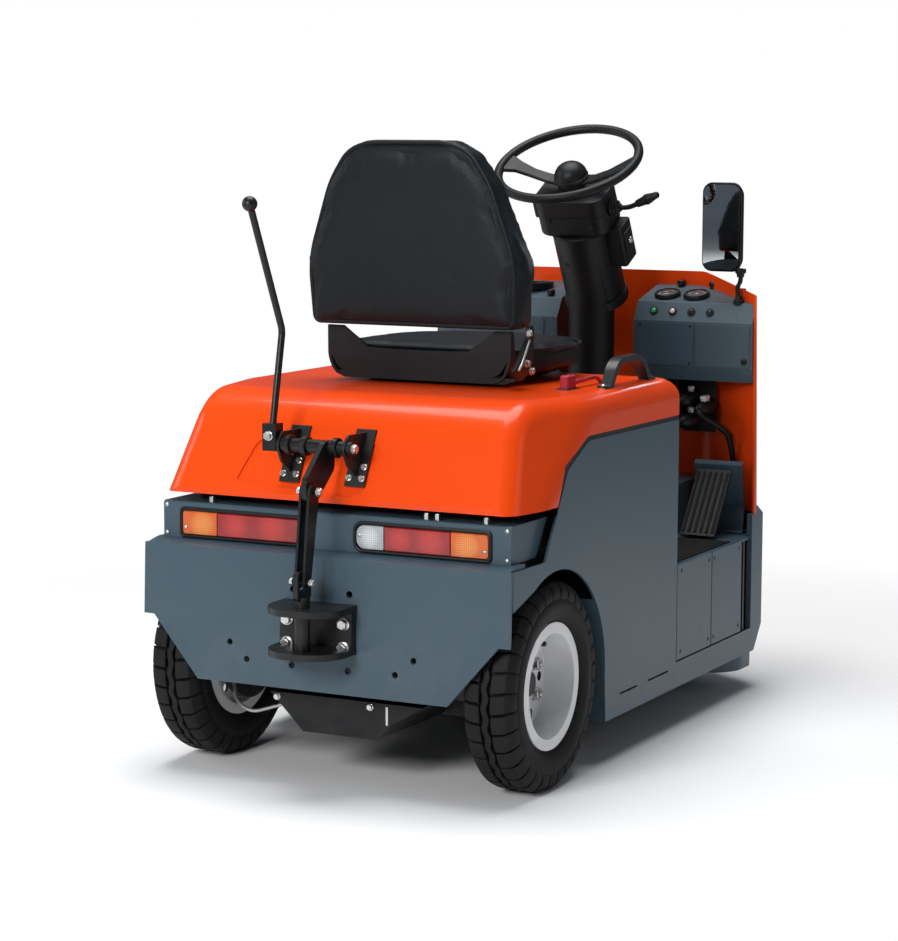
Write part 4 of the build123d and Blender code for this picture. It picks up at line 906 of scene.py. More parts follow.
FINISHES: dict[Slot, Finish] = {
    Slot.BODY: Finish("blue_grey_paint", (0.052, 0.086, 0.112), 0.36, coat=0.12, specular=0.2, relief=0.02, tone=0.05,
                      tone_scale=2.2, dust=0.14, scuff=0.05, scuff_colour=(0.12, 0.15, 0.17)),
    Slot.ORANGE: Finish("hood_orange", (0.80, 0.062, 0.004), 0.30, coat=0.22, specular=0.15, relief=0.02, tone=0.04,
                        tone_scale=2.0, dust=0.04, scuff=0.02, scuff_colour=(0.85, 0.12, 0.02)),
    Slot.BLACK: Finish("black_frame_paint", (0.008, 0.0085, 0.009), 0.45, texture=Texture.CAST, dust=0.3, scuff=0.1,
                       scuff_colour=(0.05, 0.05, 0.05)),
    Slot.BATTERY: Finish("battery_shell", (0.05, 0.055, 0.06), texture=Texture.PEBBLE),
    Slot.HITCH: Finish("hitch_black_steel", (0.006, 0.0065, 0.007), 0.36, texture=Texture.CAST, relief=0.06, dust=0.1,
                       scuff=0.3, scuff_colour=(0.06, 0.06, 0.06)),
    Slot.BRIGHT: Finish("bright_zinc_steel", (0.62, 0.62, 0.60), 0.28, metallic=0.9, texture=Texture.BRUSHED,
                        relief=0.04, dust=0.12, scuff=0.3, scuff_colour=(0.3, 0.29, 0.27)),
    Slot.CHROME: Finish("dark_grey_tube", (0.014, 0.016, 0.018), 0.34, relief=0.02, dust=0.05),
    Slot.PLASTIC: Finish("black_moulding", (0.0070, 0.0080, 0.0092), 0.44, specular=0.25, texture=Texture.PEBBLE,
                         relief=0.08, tone=0.12, dust=0.06, scuff=0.1, scuff_colour=(0.05, 0.05, 0.05)),
    Slot.GREY: Finish("grey_moulding", (0.050, 0.080, 0.098), 0.42, texture=Texture.PEBBLE, relief=0.07, dust=0.08),
    Slot.VINYL: Finish("black_vinyl", (0.0055, 0.0080, 0.0100), 0.46, specular=0.2, texture=Texture.HIDE, relief=0.14,
                       tone=0.15, dust=0.03, scuff=0.1, scuff_colour=(0.04, 0.045, 0.05)),
    Slot.RIM: Finish("white_rim_paint", (0.80, 0.80, 0.81), 0.30, coat=0.15, relief=0.03, tone=0.06, dust=0.35,
                     dust_height=0.45, dust_colour=(0.45, 0.44, 0.43), scuff=0.1, scuff_colour=(0.4, 0.4, 0.4)),
    Slot.HUB: Finish("dark_hub_steel", (0.012, 0.012, 0.013), metallic=0.3, texture=Texture.CAST, relief=0.1,
                     dust=0.35),
    Slot.TYRE: Finish("road_rubber", (0.0070, 0.0072, 0.0076), 0.60, specular=0.2, texture=Texture.RUBBER, relief=0.14,
                      tone=0.2, dust=0.35, dust_height=0.42, dust_colour=(0.022, 0.021, 0.020), scuff=0.2,
                      scuff_colour=(0.03, 0.03, 0.03)),
    # Each lens's bright colour and spots are painted reflections of the lamp bowls behind it.
    Slot.RED: LensFinish("tail_red", (0.34, 0.008, 0.010), 0.16, bright=(0.75, 0.045, 0.035), spots=(
        (0.125, 0.471, 0.034), (0.205, 0.471, 0.030), (-0.142, 0.471, 0.026), (-0.205, 0.471, 0.032))),
    Slot.AMBER: LensFinish("tail_amber", (0.72, 0.12, 0.008), 0.16, bright=(1.0, 0.42, 0.08), spots=(
        (0.278, 0.469, 0.028), (-0.278, 0.469, 0.028))),
    Slot.CLEAR: LensFinish("tail_clear", (0.42, 0.45, 0.47), 0.12, bright=(0.95, 0.97, 1.0), spots=(
        (-0.080, 0.471, 0.022),)),
}

CLEAN = {"relief": 0.0, "dust": 0.0, "scuff": 0.0}
SPECIALS: dict[str, Finish] = {
    "mirror_glass": Finish("mirror_glass", (0.72, 0.76, 0.80), 0.03, metallic=1.0, tone=0.01, **CLEAN),
    "gauge_glass": LensFinish("clear_dome", (0.95, 0.97, 0.97), 0.04, coat=0.0, tone=0.0, clear=0.95, **CLEAN),
    "lamp_silver": Finish("lamp_silver", (0.85, 0.86, 0.88), 0.12, metallic=1.0, tone=0.02, **CLEAN),
    "green_lamp": Finish("green_button", (0.01, 0.35, 0.10), 0.25, coat=0.4, **CLEAN),
    "white_lamp": Finish("white_button", (0.62, 0.50, 0.44), 0.3, coat=0.4, **CLEAN),
    "dark_button": Finish("dark_button", (0.010, 0.010, 0.011), 0.35, relief=0.02, dust=0.0, scuff=0.05),
    "red_plastic": Finish("red_plastic", (0.38, 0.02, 0.035), 0.42, relief=0.04, dust=0.05, scuff=0.1,
                          scuff_colour=(0.45, 0.1, 0.1)),
    "shell_black": Finish("seat_shell", (0.0050, 0.0078, 0.0098), specular=0.2, texture=Texture.PEBBLE, relief=0.1,
                          dust=0.02, scuff=0.06, scuff_colour=(0.03, 0.035, 0.04)),
}


def dress(piece: Piece, slot: Slot, body: Optional[str] = "chassis", finish: Optional[Finish] = None) -> Piece:
    """Give a piece its finish, and let it ride on a CAD body.

    Args:
        piece: The piece.
        slot: The record's slot that it takes its finish from.
        body: The CAD body that it rides on. A CAD node rides already, and takes None.
        finish: A finish of its own, where the slot's usual one doesn't fit.

    Returns:
        The same piece.
    """
    piece.data.materials.clear()
    piece.data.materials.append((finish or FINISHES[slot]).build())
    if body:
        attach(piece, body)
    return piece


def fit(name: str, pieces: Sequence[Piece], slot: Slot, body: str = "chassis",
        finish: Optional[Finish] = None) -> Piece:
    """Join pieces into one, shade it and dress it.

    Args:
        name: The joined piece's name.
        pieces: The pieces.
        slot: The record's slot that it takes its finish from.
        body: The CAD body that it rides on.
        finish: A finish of its own.

    Returns:
        The joined piece.
    """
    return dress(Bench.smooth(Bench.join(name, pieces), 40), slot, body, finish)


def stand_in(node: str, slot: Slot, width: float, steps: int = 2, body: str = "chassis",
             shape: Optional[Callable[[Piece], None]] = None) -> None:
    """Replace a CAD node by a copy of it with rounded edges.

    Args:
        node: The CAD node.
        slot: The record's slot that the copy takes its finish from.
        width: The rounds' width in millimetres.
        steps: Steps in each round.
        body: The CAD body that it rides on.
        shape: What is done to the copy first.
    """
    copy = Bench.merged(node, node + "_shown")
    if shape:
        shape(copy)
    dress(Bench.soften(copy, width * MM, steps), slot, body)
    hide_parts(node)


# The studio


@dataclass
class Studio:
    """The pale floor, the soft light and the camera of the photograph."""

    focal: float = 100.6
    camera_at: Point = (-2.3654, 4.7145, 1.2070)
    yaw: float = 27.246
    pitch: float = 7.413
    roll: float = 0.177

    def build(self) -> None:
        """Set the floor, the lights and the camera."""
        self.floor()
        self.lights()
        self.camera()

    def floor(self) -> None:
        """A wide pale floor that turns into the white surround far from the vehicle."""
        Bench.clear()
        bpy.ops.mesh.primitive_plane_add(size=120, location=(0, 0, 0))
        floor = Bench.settle("studio_floor")
        material = bpy.data.materials.new("studio_floor")
        material.use_nodes = True
        tree = material.node_tree
        shader = tree.nodes["Principled BSDF"]
        shader.inputs["Roughness"].default_value = 0.9
        shader.inputs["Specular IOR Level"].default_value = 0.2
        length = tree.nodes.new("ShaderNodeVectorMath")
        length.operation = "LENGTH"
        tree.links.new(tree.nodes.new("ShaderNodeTexCoord").outputs["Object"], length.inputs[0])
        far = Effects.ramp(tree, length.outputs["Value"], 1.0, 2.3)
        far = Effects.sum(tree, "MULTIPLY", far, tree.nodes.new("ShaderNodeLightPath").outputs["Is Camera Ray"])
        tree.links.new(Finish.blend(tree, far, (0.90, 0.90, 0.90), (0.0, 0.0, 0.0)), shader.inputs["Base Color"])
        tree.links.new(Finish.blend(tree, far, (0.0, 0.0, 0.0), (1.0, 1.0, 1.0)), shader.inputs["Emission Color"])
        shader.inputs["Emission Strength"].default_value = 1.0
        floor.data.materials.append(material)

    def lights(self) -> None:
        """A white surround that lights softly, and large soft lamps."""
        world = bpy.data.worlds.new("studio_surround")
        bpy.context.scene.world = world
        world.use_nodes = True
        tree = world.node_tree
        back = tree.nodes["Background"]
        path = tree.nodes.new("ShaderNodeLightPath")
        tree.links.new(Finish.blend(tree, path.outputs["Is Camera Ray"], (0.085, 0.095, 0.11), (1.0, 1.0, 1.0)),
                       back.inputs["Color"])
        back.inputs["Strength"].default_value = 1.0
        rows = (("key_lamp", (0.4, 5.2, 2.6), 1.6, 178), ("side_lamp", (-4.6, -0.6, 2.0), 2.0, 11),
                ("top_lamp", (0.3, -0.3, 4.6), 3.2, 215), ("left_lamp", (4.6, 1.5, 2.2), 2.0, 45))
        for name, place, size, power in rows:
            bpy.ops.object.light_add(type="AREA", location=place)
            lamp = bpy.context.object
            lamp.name = name
            lamp.data.size = size
            lamp.data.energy = power
            lamp.rotation_euler = (Vector((0, 0, 0.5)) - Vector(place)).to_track_quat("-Z", "Y").to_euler()

    def camera(self) -> None:
        """The camera at the photograph's place and angle."""
        yaw, pitch, roll = (math.radians(a) for a in (self.yaw, self.pitch, self.roll))
        ahead = Vector((math.sin(yaw) * math.cos(pitch), -math.cos(yaw) * math.cos(pitch), -math.sin(pitch)))
        right = Vector((-math.cos(yaw), -math.sin(yaw), 0))
        up = right.cross(ahead)
        tipped = right * math.cos(roll) + up * math.sin(roll)
        upright = tipped.cross(ahead)
        bpy.ops.object.camera_add(location=self.camera_at)
        camera = bpy.context.object
        camera.matrix_world = Matrix.Translation(self.camera_at) @ Matrix(
            (tipped, upright, -ahead)).transposed().to_4x4()
        camera.data.lens = self.focal
        camera.data.sensor_width = 36.0
        camera.data.clip_end = 200
        bpy.context.scene.camera = camera
        bpy.context.scene.view_settings.view_transform = "Standard"


# Fasteners


class Fastener:
    """Bolts and screws: each kind is modelled once and copied to its places."""

    @staticmethod
    def hexagon(across: float, height: float, washer: float) -> Piece:
        """A hexagon head with a chamfered top on its washer, standing on the floor's middle.

        Args:
            across: Millimetres across the flats.
            height: The head's height.
            washer: The washer's radius.

        Returns:
            The bolt.
        """
        foot = [(0, 0), (0, washer), (1.4, washer), (2.0, washer - 0.8), (2.0, 0)]
        flat = Bench.turned("washer", foot, ORIGIN, UP, 32)
        head = Bench.bar("head", Vector((0, 0, 2 * MM)), Vector((0, 0, (2 + height) * MM)), across / 1.732 * MM, 6)
        Bench.pick(head, lambda centre, normal: normal.z > 0.9)
        bpy.ops.mesh.inset(thickness=across * 0.06 * MM)
        bpy.ops.transform.translate(value=(0, 0, height * 0.08 * MM))
        bpy.ops.mesh.inset(thickness=across * 0.10 * MM)
        bpy.ops.transform.translate(value=(0, 0, -height * 0.06 * MM))
        Bench.leave(head)
        Bench.soften(head, 0.35 * MM, 1)
        return Bench.join("bolt", [flat, head])

    @staticmethod
    def domed(radius: float, height: float, socket: float = 0.42) -> Piece:
        """A domed screw with a round socket in its top, standing on the floor's middle.

        Args:
            radius: The head's radius in millimetres.
            height: Its height.
            socket: The socket's share of the radius.

        Returns:
            The screw.
        """
        rows = [(-0.5, 0), (-0.5, radius), (height * 0.25, radius), (height * 0.6, radius * 0.88),
                (height * 0.85, radius * 0.66), (height, radius * socket), (height * 0.45, radius * socket * 0.85),
                (height * 0.4, 0)]
        return Bench.turned("screw", rows, ORIGIN, UP, 24)

    @staticmethod
    def spread(name: str, model: Piece, places: Sequence[tuple[Vector, Vector]], slot: Slot = Slot.BRIGHT,
               body: str = "chassis") -> Piece:
        """Copy a fastener to its places and join the copies.

        Args:
            name: The joined piece's name.
            model: The fastener at the floor's middle. It is used up.
            places: Rows of (foot, outward direction).
            slot: The finish.
            body: The body that they ride on.

        Returns:
            The joined piece.
        """
        copies = [Bench.copied(model, name + "_one", along(foot, foot + way)) for foot, way in places]
        bpy.data.objects.remove(model)
        return fit(name, copies, slot, body)


# Wheels


@dataclass
class Tyre:
    """A solid cushion tyre with two rows of lugs and a wavy rib."""

    name: str
    node: str
    body: str
    x: float
    station: float
    diameter: float = 390.0
    width: float = 100.0
    groove: float = 10.0
    lugs: int = 32
    gap: float = 4.5
    rib_half: float = 6.0
    seat: float = 101.5
    flange: float = 118.5
    wave: float = 2.4

    def centre(self) -> Vector:
        """The wheel's middle."""
        return at(self.x, self.station, self.diameter / 2)

    def build(self) -> Piece:
        """Make the tyre.

        Returns:
            The finished tyre.
        """
        parts = [self.carcass(), self.rib()]
        for side in (-1, 1):
            lug = self.lug(side)
            for index in range(self.lugs):
                turn = Matrix.Rotation((index + (0.5 if side > 0 else 0.0)) * 2 * math.pi / self.lugs, 4, "X")
                place = Matrix.Translation(self.centre()) @ turn @ Matrix.Translation(-self.centre())
                parts.append(Bench.copied(lug, "lug", place))
            bpy.data.objects.remove(lug)
        tyre = fit(self.name, parts, Slot.TYRE, self.body)
        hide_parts(self.node)
        return tyre

    def carcass(self) -> Piece:
        """The turned body of the tyre, out to the bottom of its grooves."""
        half, top = self.width / 2, self.diameter / 2
        base = top - self.groove
        outer = [(38, self.seat), (38, self.flange + 1), (half - 6, self.flange + 5), (half - 2.5, self.flange + 12),
                 (half - 1.2, 136), (half - 0.2, 138), (half, 150), (half - 0.6, 158), (half - 1.6, 159.5),
                 (half - 3.0, base - 14), (half - 8, base - 3), (half - 16, base)]
        profile = outer + [(-x, r) for x, r in reversed(outer)]
        return Bench.turned("carcass", profile, self.centre(), LEFT, 96)

    def rib(self) -> Piece:
        """The wavy rib round the middle of the tread."""
        Bench.clear()
        top = (self.diameter / 2 - 0.5) * MM
        bpy.ops.mesh.primitive_cylinder_add(vertices=self.lugs * 6, radius=top, depth=self.rib_half * 2 * MM,
                                            end_fill_type="NOTHING", rotation=(0, math.pi / 2, 0))
        rib = Bench.settle("rib")
        for vertex in rib.data.vertices:
            turn = math.atan2(vertex.co.y, vertex.co.z) * self.lugs
            vertex.co.x += self.wave * MM * math.sin(turn)
        rib.data.transform(Matrix.Translation(self.centre()))
        Bench.modify(rib, "SOLIDIFY", thickness=self.groove * MM, offset=-1)
        return Bench.soften(rib, 0.0012, 1)

    def lug(self, side: int) -> Piece:
        """One lug, from beside the rib out over the shoulder.

        Args:
            side: 1 for the side at larger x, -1 for the other.

        Returns:
            The lug at the top of the tyre.
        """
        top, half = self.diameter / 2, self.width / 2
        pitch = math.pi * self.diameter / self.lugs
        length = (pitch - self.gap) / 2
        rows = ((self.rib_half + 5.0, top, 2.0), (half - 20, top, 0.0), (half - 11, top - 3.0, -2.5),
                (half - 3.0, top - 14.0, -4.0), (half - 0.4, top - 25.0, -4.0))
        Bench.clear()
        bpy.ops.mesh.primitive_grid_add(x_subdivisions=len(rows) - 1, y_subdivisions=4, size=1)
        lug = Bench.settle("lug_start")
        columns = sorted({round(v.co.x, 4) for v in lug.data.vertices})
        for vertex in lug.data.vertices:
            x, radius, swing = rows[columns.index(round(vertex.co.x, 4))]
            turn = (vertex.co.y * 2 * length + swing) / top
            vertex.co = Vector((side * x, math.sin(turn) * radius, math.cos(turn) * radius)) * MM
        lug.data.transform(Matrix.Translation(self.centre()))
        Bench.edit(lug)
        bpy.ops.mesh.select_all(action="SELECT")
        bpy.ops.mesh.extrude_region_move(TRANSFORM_OT_translate={"value": (0, 0, 0)})
        bpy.ops.transform.resize(value=(0.97, 1.0, 1.0), center_override=self.centre())
        Bench.leave(lug)
        low = [v for v in lug.data.vertices if v.select]
        for vertex in low:
            away = vertex.co - self.centre()
            ring = Vector((0, away.y, away.z))
            vertex.co -= ring.normalized() * self.groove * MM
        Bench.edit(lug)
        return Bench.soften(Bench.outward(lug), 0.0013, 1, 40)


@dataclass
class Wheel:
    """A pressed rim with its hub, bright nuts, and vent holes whose walls are painted dark as painted shade."""

    name: str
    rim: str
    hub: str
    body: str
    x: float
    station: float
    side: int
    nuts: int = 6
    nut_circle: float = 57.0
    vent_circle: float = 74.0
    vent: float = 8.5

    def across(self, point: Vector) -> float:
        """How far a point is, in millimetres, from the nearest vent hole's axis.

        Args:
            point: The point in metres.

        Returns:
            The distance square to the wheel's axis.
        """
        return min(math.hypot(point.y - spot.y, point.z - spot.z) for spot in self.circle(0, self.vent_circle)) / MM

    def circle(self, x: float, radius: float, shift: float = 0.0) -> list[Vector]:
        """Places spread evenly about the wheel's axis, as many as there are nuts.

        Args:
            x: Where they stand across the vehicle, in millimetres.
            radius: Their distance from the axis.
            shift: How far they are turned, as a share of the step between two.

        Returns:
            The places in metres.
        """
        turns = [(index + shift) * 2 * math.pi / self.nuts for index in range(self.nuts)]
        return [at(x, self.station + radius * math.cos(t), WHEEL_RADIUS + radius * math.sin(t)) for t in turns]

    def build(self) -> None:
        """Turn the rim so that its holes lie as in the photograph, and add the hub, and on the rear wheels the nuts and
        the valve.
        """
        rim = Bench.soften(Bench.merged(self.rim, self.name + "_rim"), 1.0 * MM, 2)
        hub_place = at(self.x, self.station, WHEEL_RADIUS)
        middle = Matrix.Translation(hub_place)
        rim.data.transform(middle @ Matrix.Rotation(math.pi / self.nuts, 4, "X") @ middle.inverted())
        dress(rim, Slot.RIM, self.body)
        # The vent holes' walls take the dark hub finish: painted shade inside the holes.
        Bench.paint(rim, FINISHES[Slot.HUB], lambda c, n: self.across(c) < self.vent + 0.6 and abs(n.x) < 0.5)
        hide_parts(self.rim)
        if not self.side:
            hub = Bench.soften(Bench.merged(self.hub, self.name + "_hub"), 1.0 * MM, 2)
        else:
            rows = [(-44, 0), (-44, 65), (-25, 65), (-25, 39.6), (-17, 39.6), (-15.5, 38.5), (-15.5, 35.5), (-30, 34),
                    (-33, 26), (-33, 0)]
            hub = Bench.smooth(Bench.turned(self.name + "_hub", rows, hub_place, Vector((self.side, 0, 0))), 40)
            self.nut_ring()
        dress(hub, Slot.HUB, self.body)
        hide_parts(self.hub)

    def nut_ring(self) -> None:
        """The bright nuts with their stud ends, and the black valve between two of them."""
        way = Vector((self.side, 0, 0))
        face = self.x - self.side * 19.2
        spots = [(spot, way) for spot in self.circle(face, self.nut_circle, 0.5)]
        nut = Fastener.hexagon(21, 11, 14)
        rows = [(10, 0), (10, 5.6)]
        for step in range(4):
            rows += [(13 + step * 1.2, 5.6), (13.6 + step * 1.2, 5.0)]
        stud = Bench.turned("stud", rows + [(18.0, 4.4), (18.4, 0)], ORIGIN, UP, 20)
        Fastener.spread(self.name + "_nuts", Bench.join("nut", [nut, stud]), spots, body=self.body)
        stem = [(-2, 0), (-2, 6.5), (3, 6.5), (5, 4.4), (15, 4.0), (15.5, 4.8), (21, 4.8), (22.5, 3.6), (23, 0)]
        valve = Bench.turned(self.name + "_valve", stem, at(face, self.station + 54, WHEEL_RADIUS + 66), way, 20)
        dress(Bench.smooth(valve, 40), Slot.PLASTIC, self.body)


# Seat


class Cloth:
    """The padded pieces' simulation: a shape is remeshed, blown up a little and kept."""

    VOXEL = 6.0
    PRESSURE = 4.0
    FRAMES = 20

    @staticmethod
    def pad(piece: Piece, node: str, swell: float, cap: float, fill: float) -> None:
        """Swell a node's copy, stuff it, and let it stand for the node.

        Args:
            piece: The copy.
            node: The CAD node that it replaces.
            swell: Millimetres by which its faces move out first.
            cap: How far a point may move when it is stuffed, in millimetres.
            fill: How full the finished pad is. Not used.
        """
        Bench.modify(piece, "DISPLACE", strength=swell * MM, mid_level=0)
        Cloth.puff(piece, cap * MM)
        dress(piece, Slot.VINYL)
        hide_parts(node)

    @staticmethod
    def puff(piece: Piece, cap: float) -> Piece:
        """Blow up a closed shape as stuffed fabric.

        Args:
            piece: The starting shape.
            cap: How far a point may move, in metres.

        Returns:
            The same piece, padded.
        """
        Bench.modify(piece, "REMESH", mode="VOXEL", voxel_size=Cloth.VOXEL * MM)
        rest = [v.co.copy() for v in piece.data.vertices]
        cloth = piece.modifiers.new("stuffing", "CLOTH")
        cloth.settings.use_pressure = True
        cloth.settings.uniform_pressure_force = Cloth.PRESSURE
        cloth.settings.effector_weights.gravity = 0
        cloth.settings.quality = 5
        for number in range(1, Cloth.FRAMES + 1):
            bpy.context.scene.frame_set(number)
        bpy.ops.object.modifier_apply(modifier=cloth.name)
        bpy.context.scene.frame_set(1)
        for vertex, start in zip(piece.data.vertices, rest):
            move = vertex.co - start
            if move.length > cap:
                vertex.co = start + move.normalized() * cap
        Bench.modify(piece, "SMOOTH", iterations=3, factor=0.5)
        Bench.modify(piece, "SUBSURF", levels=1, render_levels=1)
        bpy.ops.object.shade_smooth()
        return piece


@dataclass
class SeatBack:
    """The tall tapered seat back with a raised rear panel and a piped edge."""

    border: float = 21.0
    station: float = 345.0
    lean: float = 0.0522
    halves: tuple = (222.1, 230.0, 180.0, 140.0, 92.0)
    heights: tuple = (826.0, 955.0, 1104.8, 1165.0, 1190.0)
    bends: tuple = (14.0, 42.0, 26.0, 26.0, 22.0)

    def build(self) -> None:
        """Make the back from its CAD form."""
        pad = Bench.merged("seat_back", "seat_back_pad")
        self.panel()
        Cloth.pad(pad, "seat_back", 1, 7, 0.9)

    def outline(self, inset: float, lift: float) -> list[Vector]:
        """The rear face's outline with rounded corners.

        Args:
            inset: Millimetres in from the edge.
            lift: Millimetres out of the face.

        Returns:
            The outline's points in order.
        """
        rows = [(self.halves[k] - inset, self.heights[k]) for k in range(len(self.halves))]
        rows[0] = (rows[0][0], rows[0][1] + inset)
        rows[-1] = (rows[-1][0], rows[-1][1] - inset)
        rows += [(-x, z) for x, z in reversed(rows)]
        corners = [at(x, self.station - self.lean * (z - self.heights[0]) - lift, z) for x, z in rows]
        bends = self.bends + self.bends[::-1]
        points = []
        for index, corner in enumerate(corners):
            back = (corners[index - 1] - corner).normalized() * bends[index] * MM
            on = (corners[(index + 1) % len(corners)] - corner).normalized() * bends[index] * MM
            points += [corner + back * (1 - t / 8) ** 2 + on * (t / 8) ** 2 for t in range(9)]
        return points

    def panel(self) -> None:
        """The raised panel on the rear face, and the piping round that face."""
        bead = Bench.cord("seat_back_piping", self.outline(9.0, -4.5), 4.6 * MM)
        dress(bead, Slot.VINYL)
        panel = Bench.plate("panel", self.outline(self.border, -6), Vector((0, 9 * MM, 0)))
        shell = Bench.plate("shell", self.outline(10.0, -8), Vector((0, -30 * MM, 0)))
        both = [Bench.soften(panel, 2.6 * MM, 4), Bench.soften(shell, 4 * MM, 4)]
        dress(Bench.join("seat_back_panel", both), Slot.VINYL, finish=SPECIALS["shell_black"])


class SeatCushion:
    """The seat cushion with its pillow top and a piped upper edge."""

    def build(self) -> None:
        """Make the cushion from its CAD form."""
        pad = Bench.merged("seat_cushion", "seat_cushion_pad")
        top = max((f for f in pad.data.polygons if f.normal.z > 0.9), key=lambda f: f.area)
        middle = top.center.copy()
        edge = [pad.data.vertices[index].co.copy() for index in top.vertices]
        edge = [middle + (point - middle) * 0.962 - UP * 5.5 * MM for point in edge]
        dress(Bench.cord("cushion_piping", edge, 3.6 * MM), Slot.VINYL)
        Cloth.pad(pad, "seat_cushion", -6, 8, 0.8)


# Steering


COLUMN_TILT = math.radians(28.4)
COLUMN_TOP = (1057, 1134)


def column(distance: float, across: float = 0.0, out: float = 0.0) -> Vector:
    """A point by the steering column's axis.

    Args:
        distance: Millimetres down the axis from the wheel's middle.
        across: Millimetres to the vehicle's left.
        out: Millimetres off the axis towards the driver.

    Returns:
        The point in metres.
    """
    down = Vector((0, -math.sin(COLUMN_TILT), -math.cos(COLUMN_TILT)))
    rear = Vector((0, math.cos(COLUMN_TILT), -math.sin(COLUMN_TILT)))
    return at(across, *COLUMN_TOP) + (down * distance + rear * out) * MM


AXIS_UP = (column(0) - column(100)).normalized()
AXIS_OUT = (column(0, 0, 1) - column(0)).normalized()


@dataclass
class SteeringWheel:
    """The tubular steering wheel with two broad spokes and a domed horn button."""

    radius: float = 153.0
    tube: float = 10.0
    dome: float = 36.0
    spoke: tuple = ((42, 20, 20), (38, 52, 16), (25, 88, 15), (10, 120, 20), (1, 146, 34))

    def build(self) -> None:
        """Make the rim, the spokes and the hub with its button."""
        place = along(column(0), column(-100))
        parts = [Bench.ring("rim", place, self.radius * MM, self.tube * MM, 128, 24)]
        for side in (-1, 1):
            rows = [(column(d, side * x, -half), column(d, side * x, half)) for d, x, half in self.spoke]
            parts.append(Bench.soften(Bench.strip("spoke", rows, 9 * MM), 3.5 * MM, 4))
        boss = [(-92, 0), (-92, 14), (-58, 14), (-57, 26), (-50, 33), (-36, 35), (-35, 0)]
        parts.append(Bench.turned("boss", boss, column(0), AXIS_UP, 48))
        wheel = fit("steering_wheel_shown", parts, Slot.PLASTIC, "wheel_column")
        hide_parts("steering_wheel")
        rows = [(-36, 0), (-36, self.dome + 1.5), (-31, self.dome + 1.5), (-30, self.dome)]
        turns = [math.radians(a) for a in range(12, 85, 9)]
        rows += [(-30 + 31 * math.sin(turn), self.dome * math.cos(turn)) for turn in turns]
        rows.append((1.0, 0))
        button = Bench.turned("horn_button", rows, column(0), AXIS_UP, 64)
        dress(Bench.smooth(button, 40), Slot.PLASTIC, "wheel_column")


class SteeringColumn:
    """The boxed shroud, the tilted cover, the upright and the switches beside them."""

    def build(self) -> None:
        """Round the CAD forms and add lips, screws, the switch box and the travel lever."""
        stand_in("column_shroud", Slot.PLASTIC, 5.0, 4)
        stand_in("column_cover", Slot.PLASTIC, 2.5, 4)
        self.lips()
        self.switches()
        self.lever()
        straight, slant = column(112, 45, 60) - column(112, 45, 0), column(215, 22, 60) - column(215, 0, 0)
        places = [(column(112, 45, 54.5), straight), (column(128, -52, 54.5), straight),
                  (column(215, 22, 61.5), slant), (column(300, 22, 61.5), slant)]
        Fastener.spread("column_screws", Fastener.domed(5.0, 2.4), places, Slot.HUB)

    def lips(self) -> None:
        """The shroud's top lip, its parting line and the rings round the cover and the upright."""
        parts = []
        for start, end, wide, deep in ((64, 71, 82, 57), (104, 106, 80.8, 55.8), (146, 151, 78, 53)):
            outline = rounded(column(start), LEFT, AXIS_OUT, wide, deep, 29)
            parts.append(Bench.soften(Bench.plate("lip", outline, column(end) - column(start)), 1.6 * MM, 2))
        for low, high, radius in ((318, 341, 70), (152, 158, 68.5)):
            rows = [(-high, 30), (-high, radius - 2), (-high + 2, radius), (-low - 2, radius), (-low, radius - 2),
                    (-low, 30)]
            parts.append(Bench.turned("band", rows, column(0), AXIS_UP, 64))
        rows = [(0, 40), (0, 66), (6, 66), (9, 56), (30, 53), (32, 40)]
        parts.append(Bench.turned("foot", rows, at(0, 1188, 545), UP, 64))
        fit("column_lips", parts, Slot.PLASTIC)
        bolts = [(at(60 * math.cos(a), 1188 + 60 * math.sin(a), 551), UP) for a in (0.785, 2.356, 3.927, 5.498)]
        Fastener.spread("column_foot_bolts", Fastener.hexagon(10, 5, 7), bolts)

    def switches(self) -> None:
        """The switch box on the right of the cover and the stub on the left of the shroud."""
        parts = []
        for start, end, x, deep, half, high in ((150, 242, -78, -8, 22, 30), (164, 214, -98, -6, 8, 18),
                                                (82, 122, 84, 10, 11, 15)):
            outline = rounded(column(start, x, deep), LEFT, AXIS_OUT, half, high, 7)
            parts.append(Bench.soften(Bench.plate("switch", outline, column(end) - column(start)), 3 * MM, 3))
        dress(Bench.join("column_switches", parts), Slot.PLASTIC)
        Fastener.spread("ignition_lock", Fastener.domed(8.5, 5.0, 0.5), [(column(190, -105.5, -6), -LEFT)])

    def lever(self) -> None:
        """The travel lever: a ribbed boot, a rod and a tapered grip."""
        start, elbow, tip = at(-79, 1108, 1040), at(-120, 1108, 1040), at(-191, 1100, 1070)
        boot = [(0, 0), (0, 20), (4, 21), (7, 17), (10, 18.5), (13, 14.5), (16, 15.5), (19, 10.5), (23, 8.5), (24, 0)]
        parts = [Bench.turned("boot", boot, start, Vector((-1, 0, 0)), 40)]
        parts.append(Bench.pipe("rod", [start, elbow, elbow.lerp(tip, 0.35)], 5.4 * MM, 0.014))
        grip = [(0, 0), (0, 6.5), (3, 8.2), (20, 9.6), (27, 11.8), (34, 10.8), (46, 8.0), (54, 7.2), (57, 5.2),
                (58.5, 0)]
        foot = elbow.lerp(tip, 0.26)
        parts.append(Bench.turned("grip", grip, foot, tip - elbow, 40))
        lever = fit("travel_lever", parts, Slot.PLASTIC)
        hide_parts("direction_lever")


# Dash and mirror


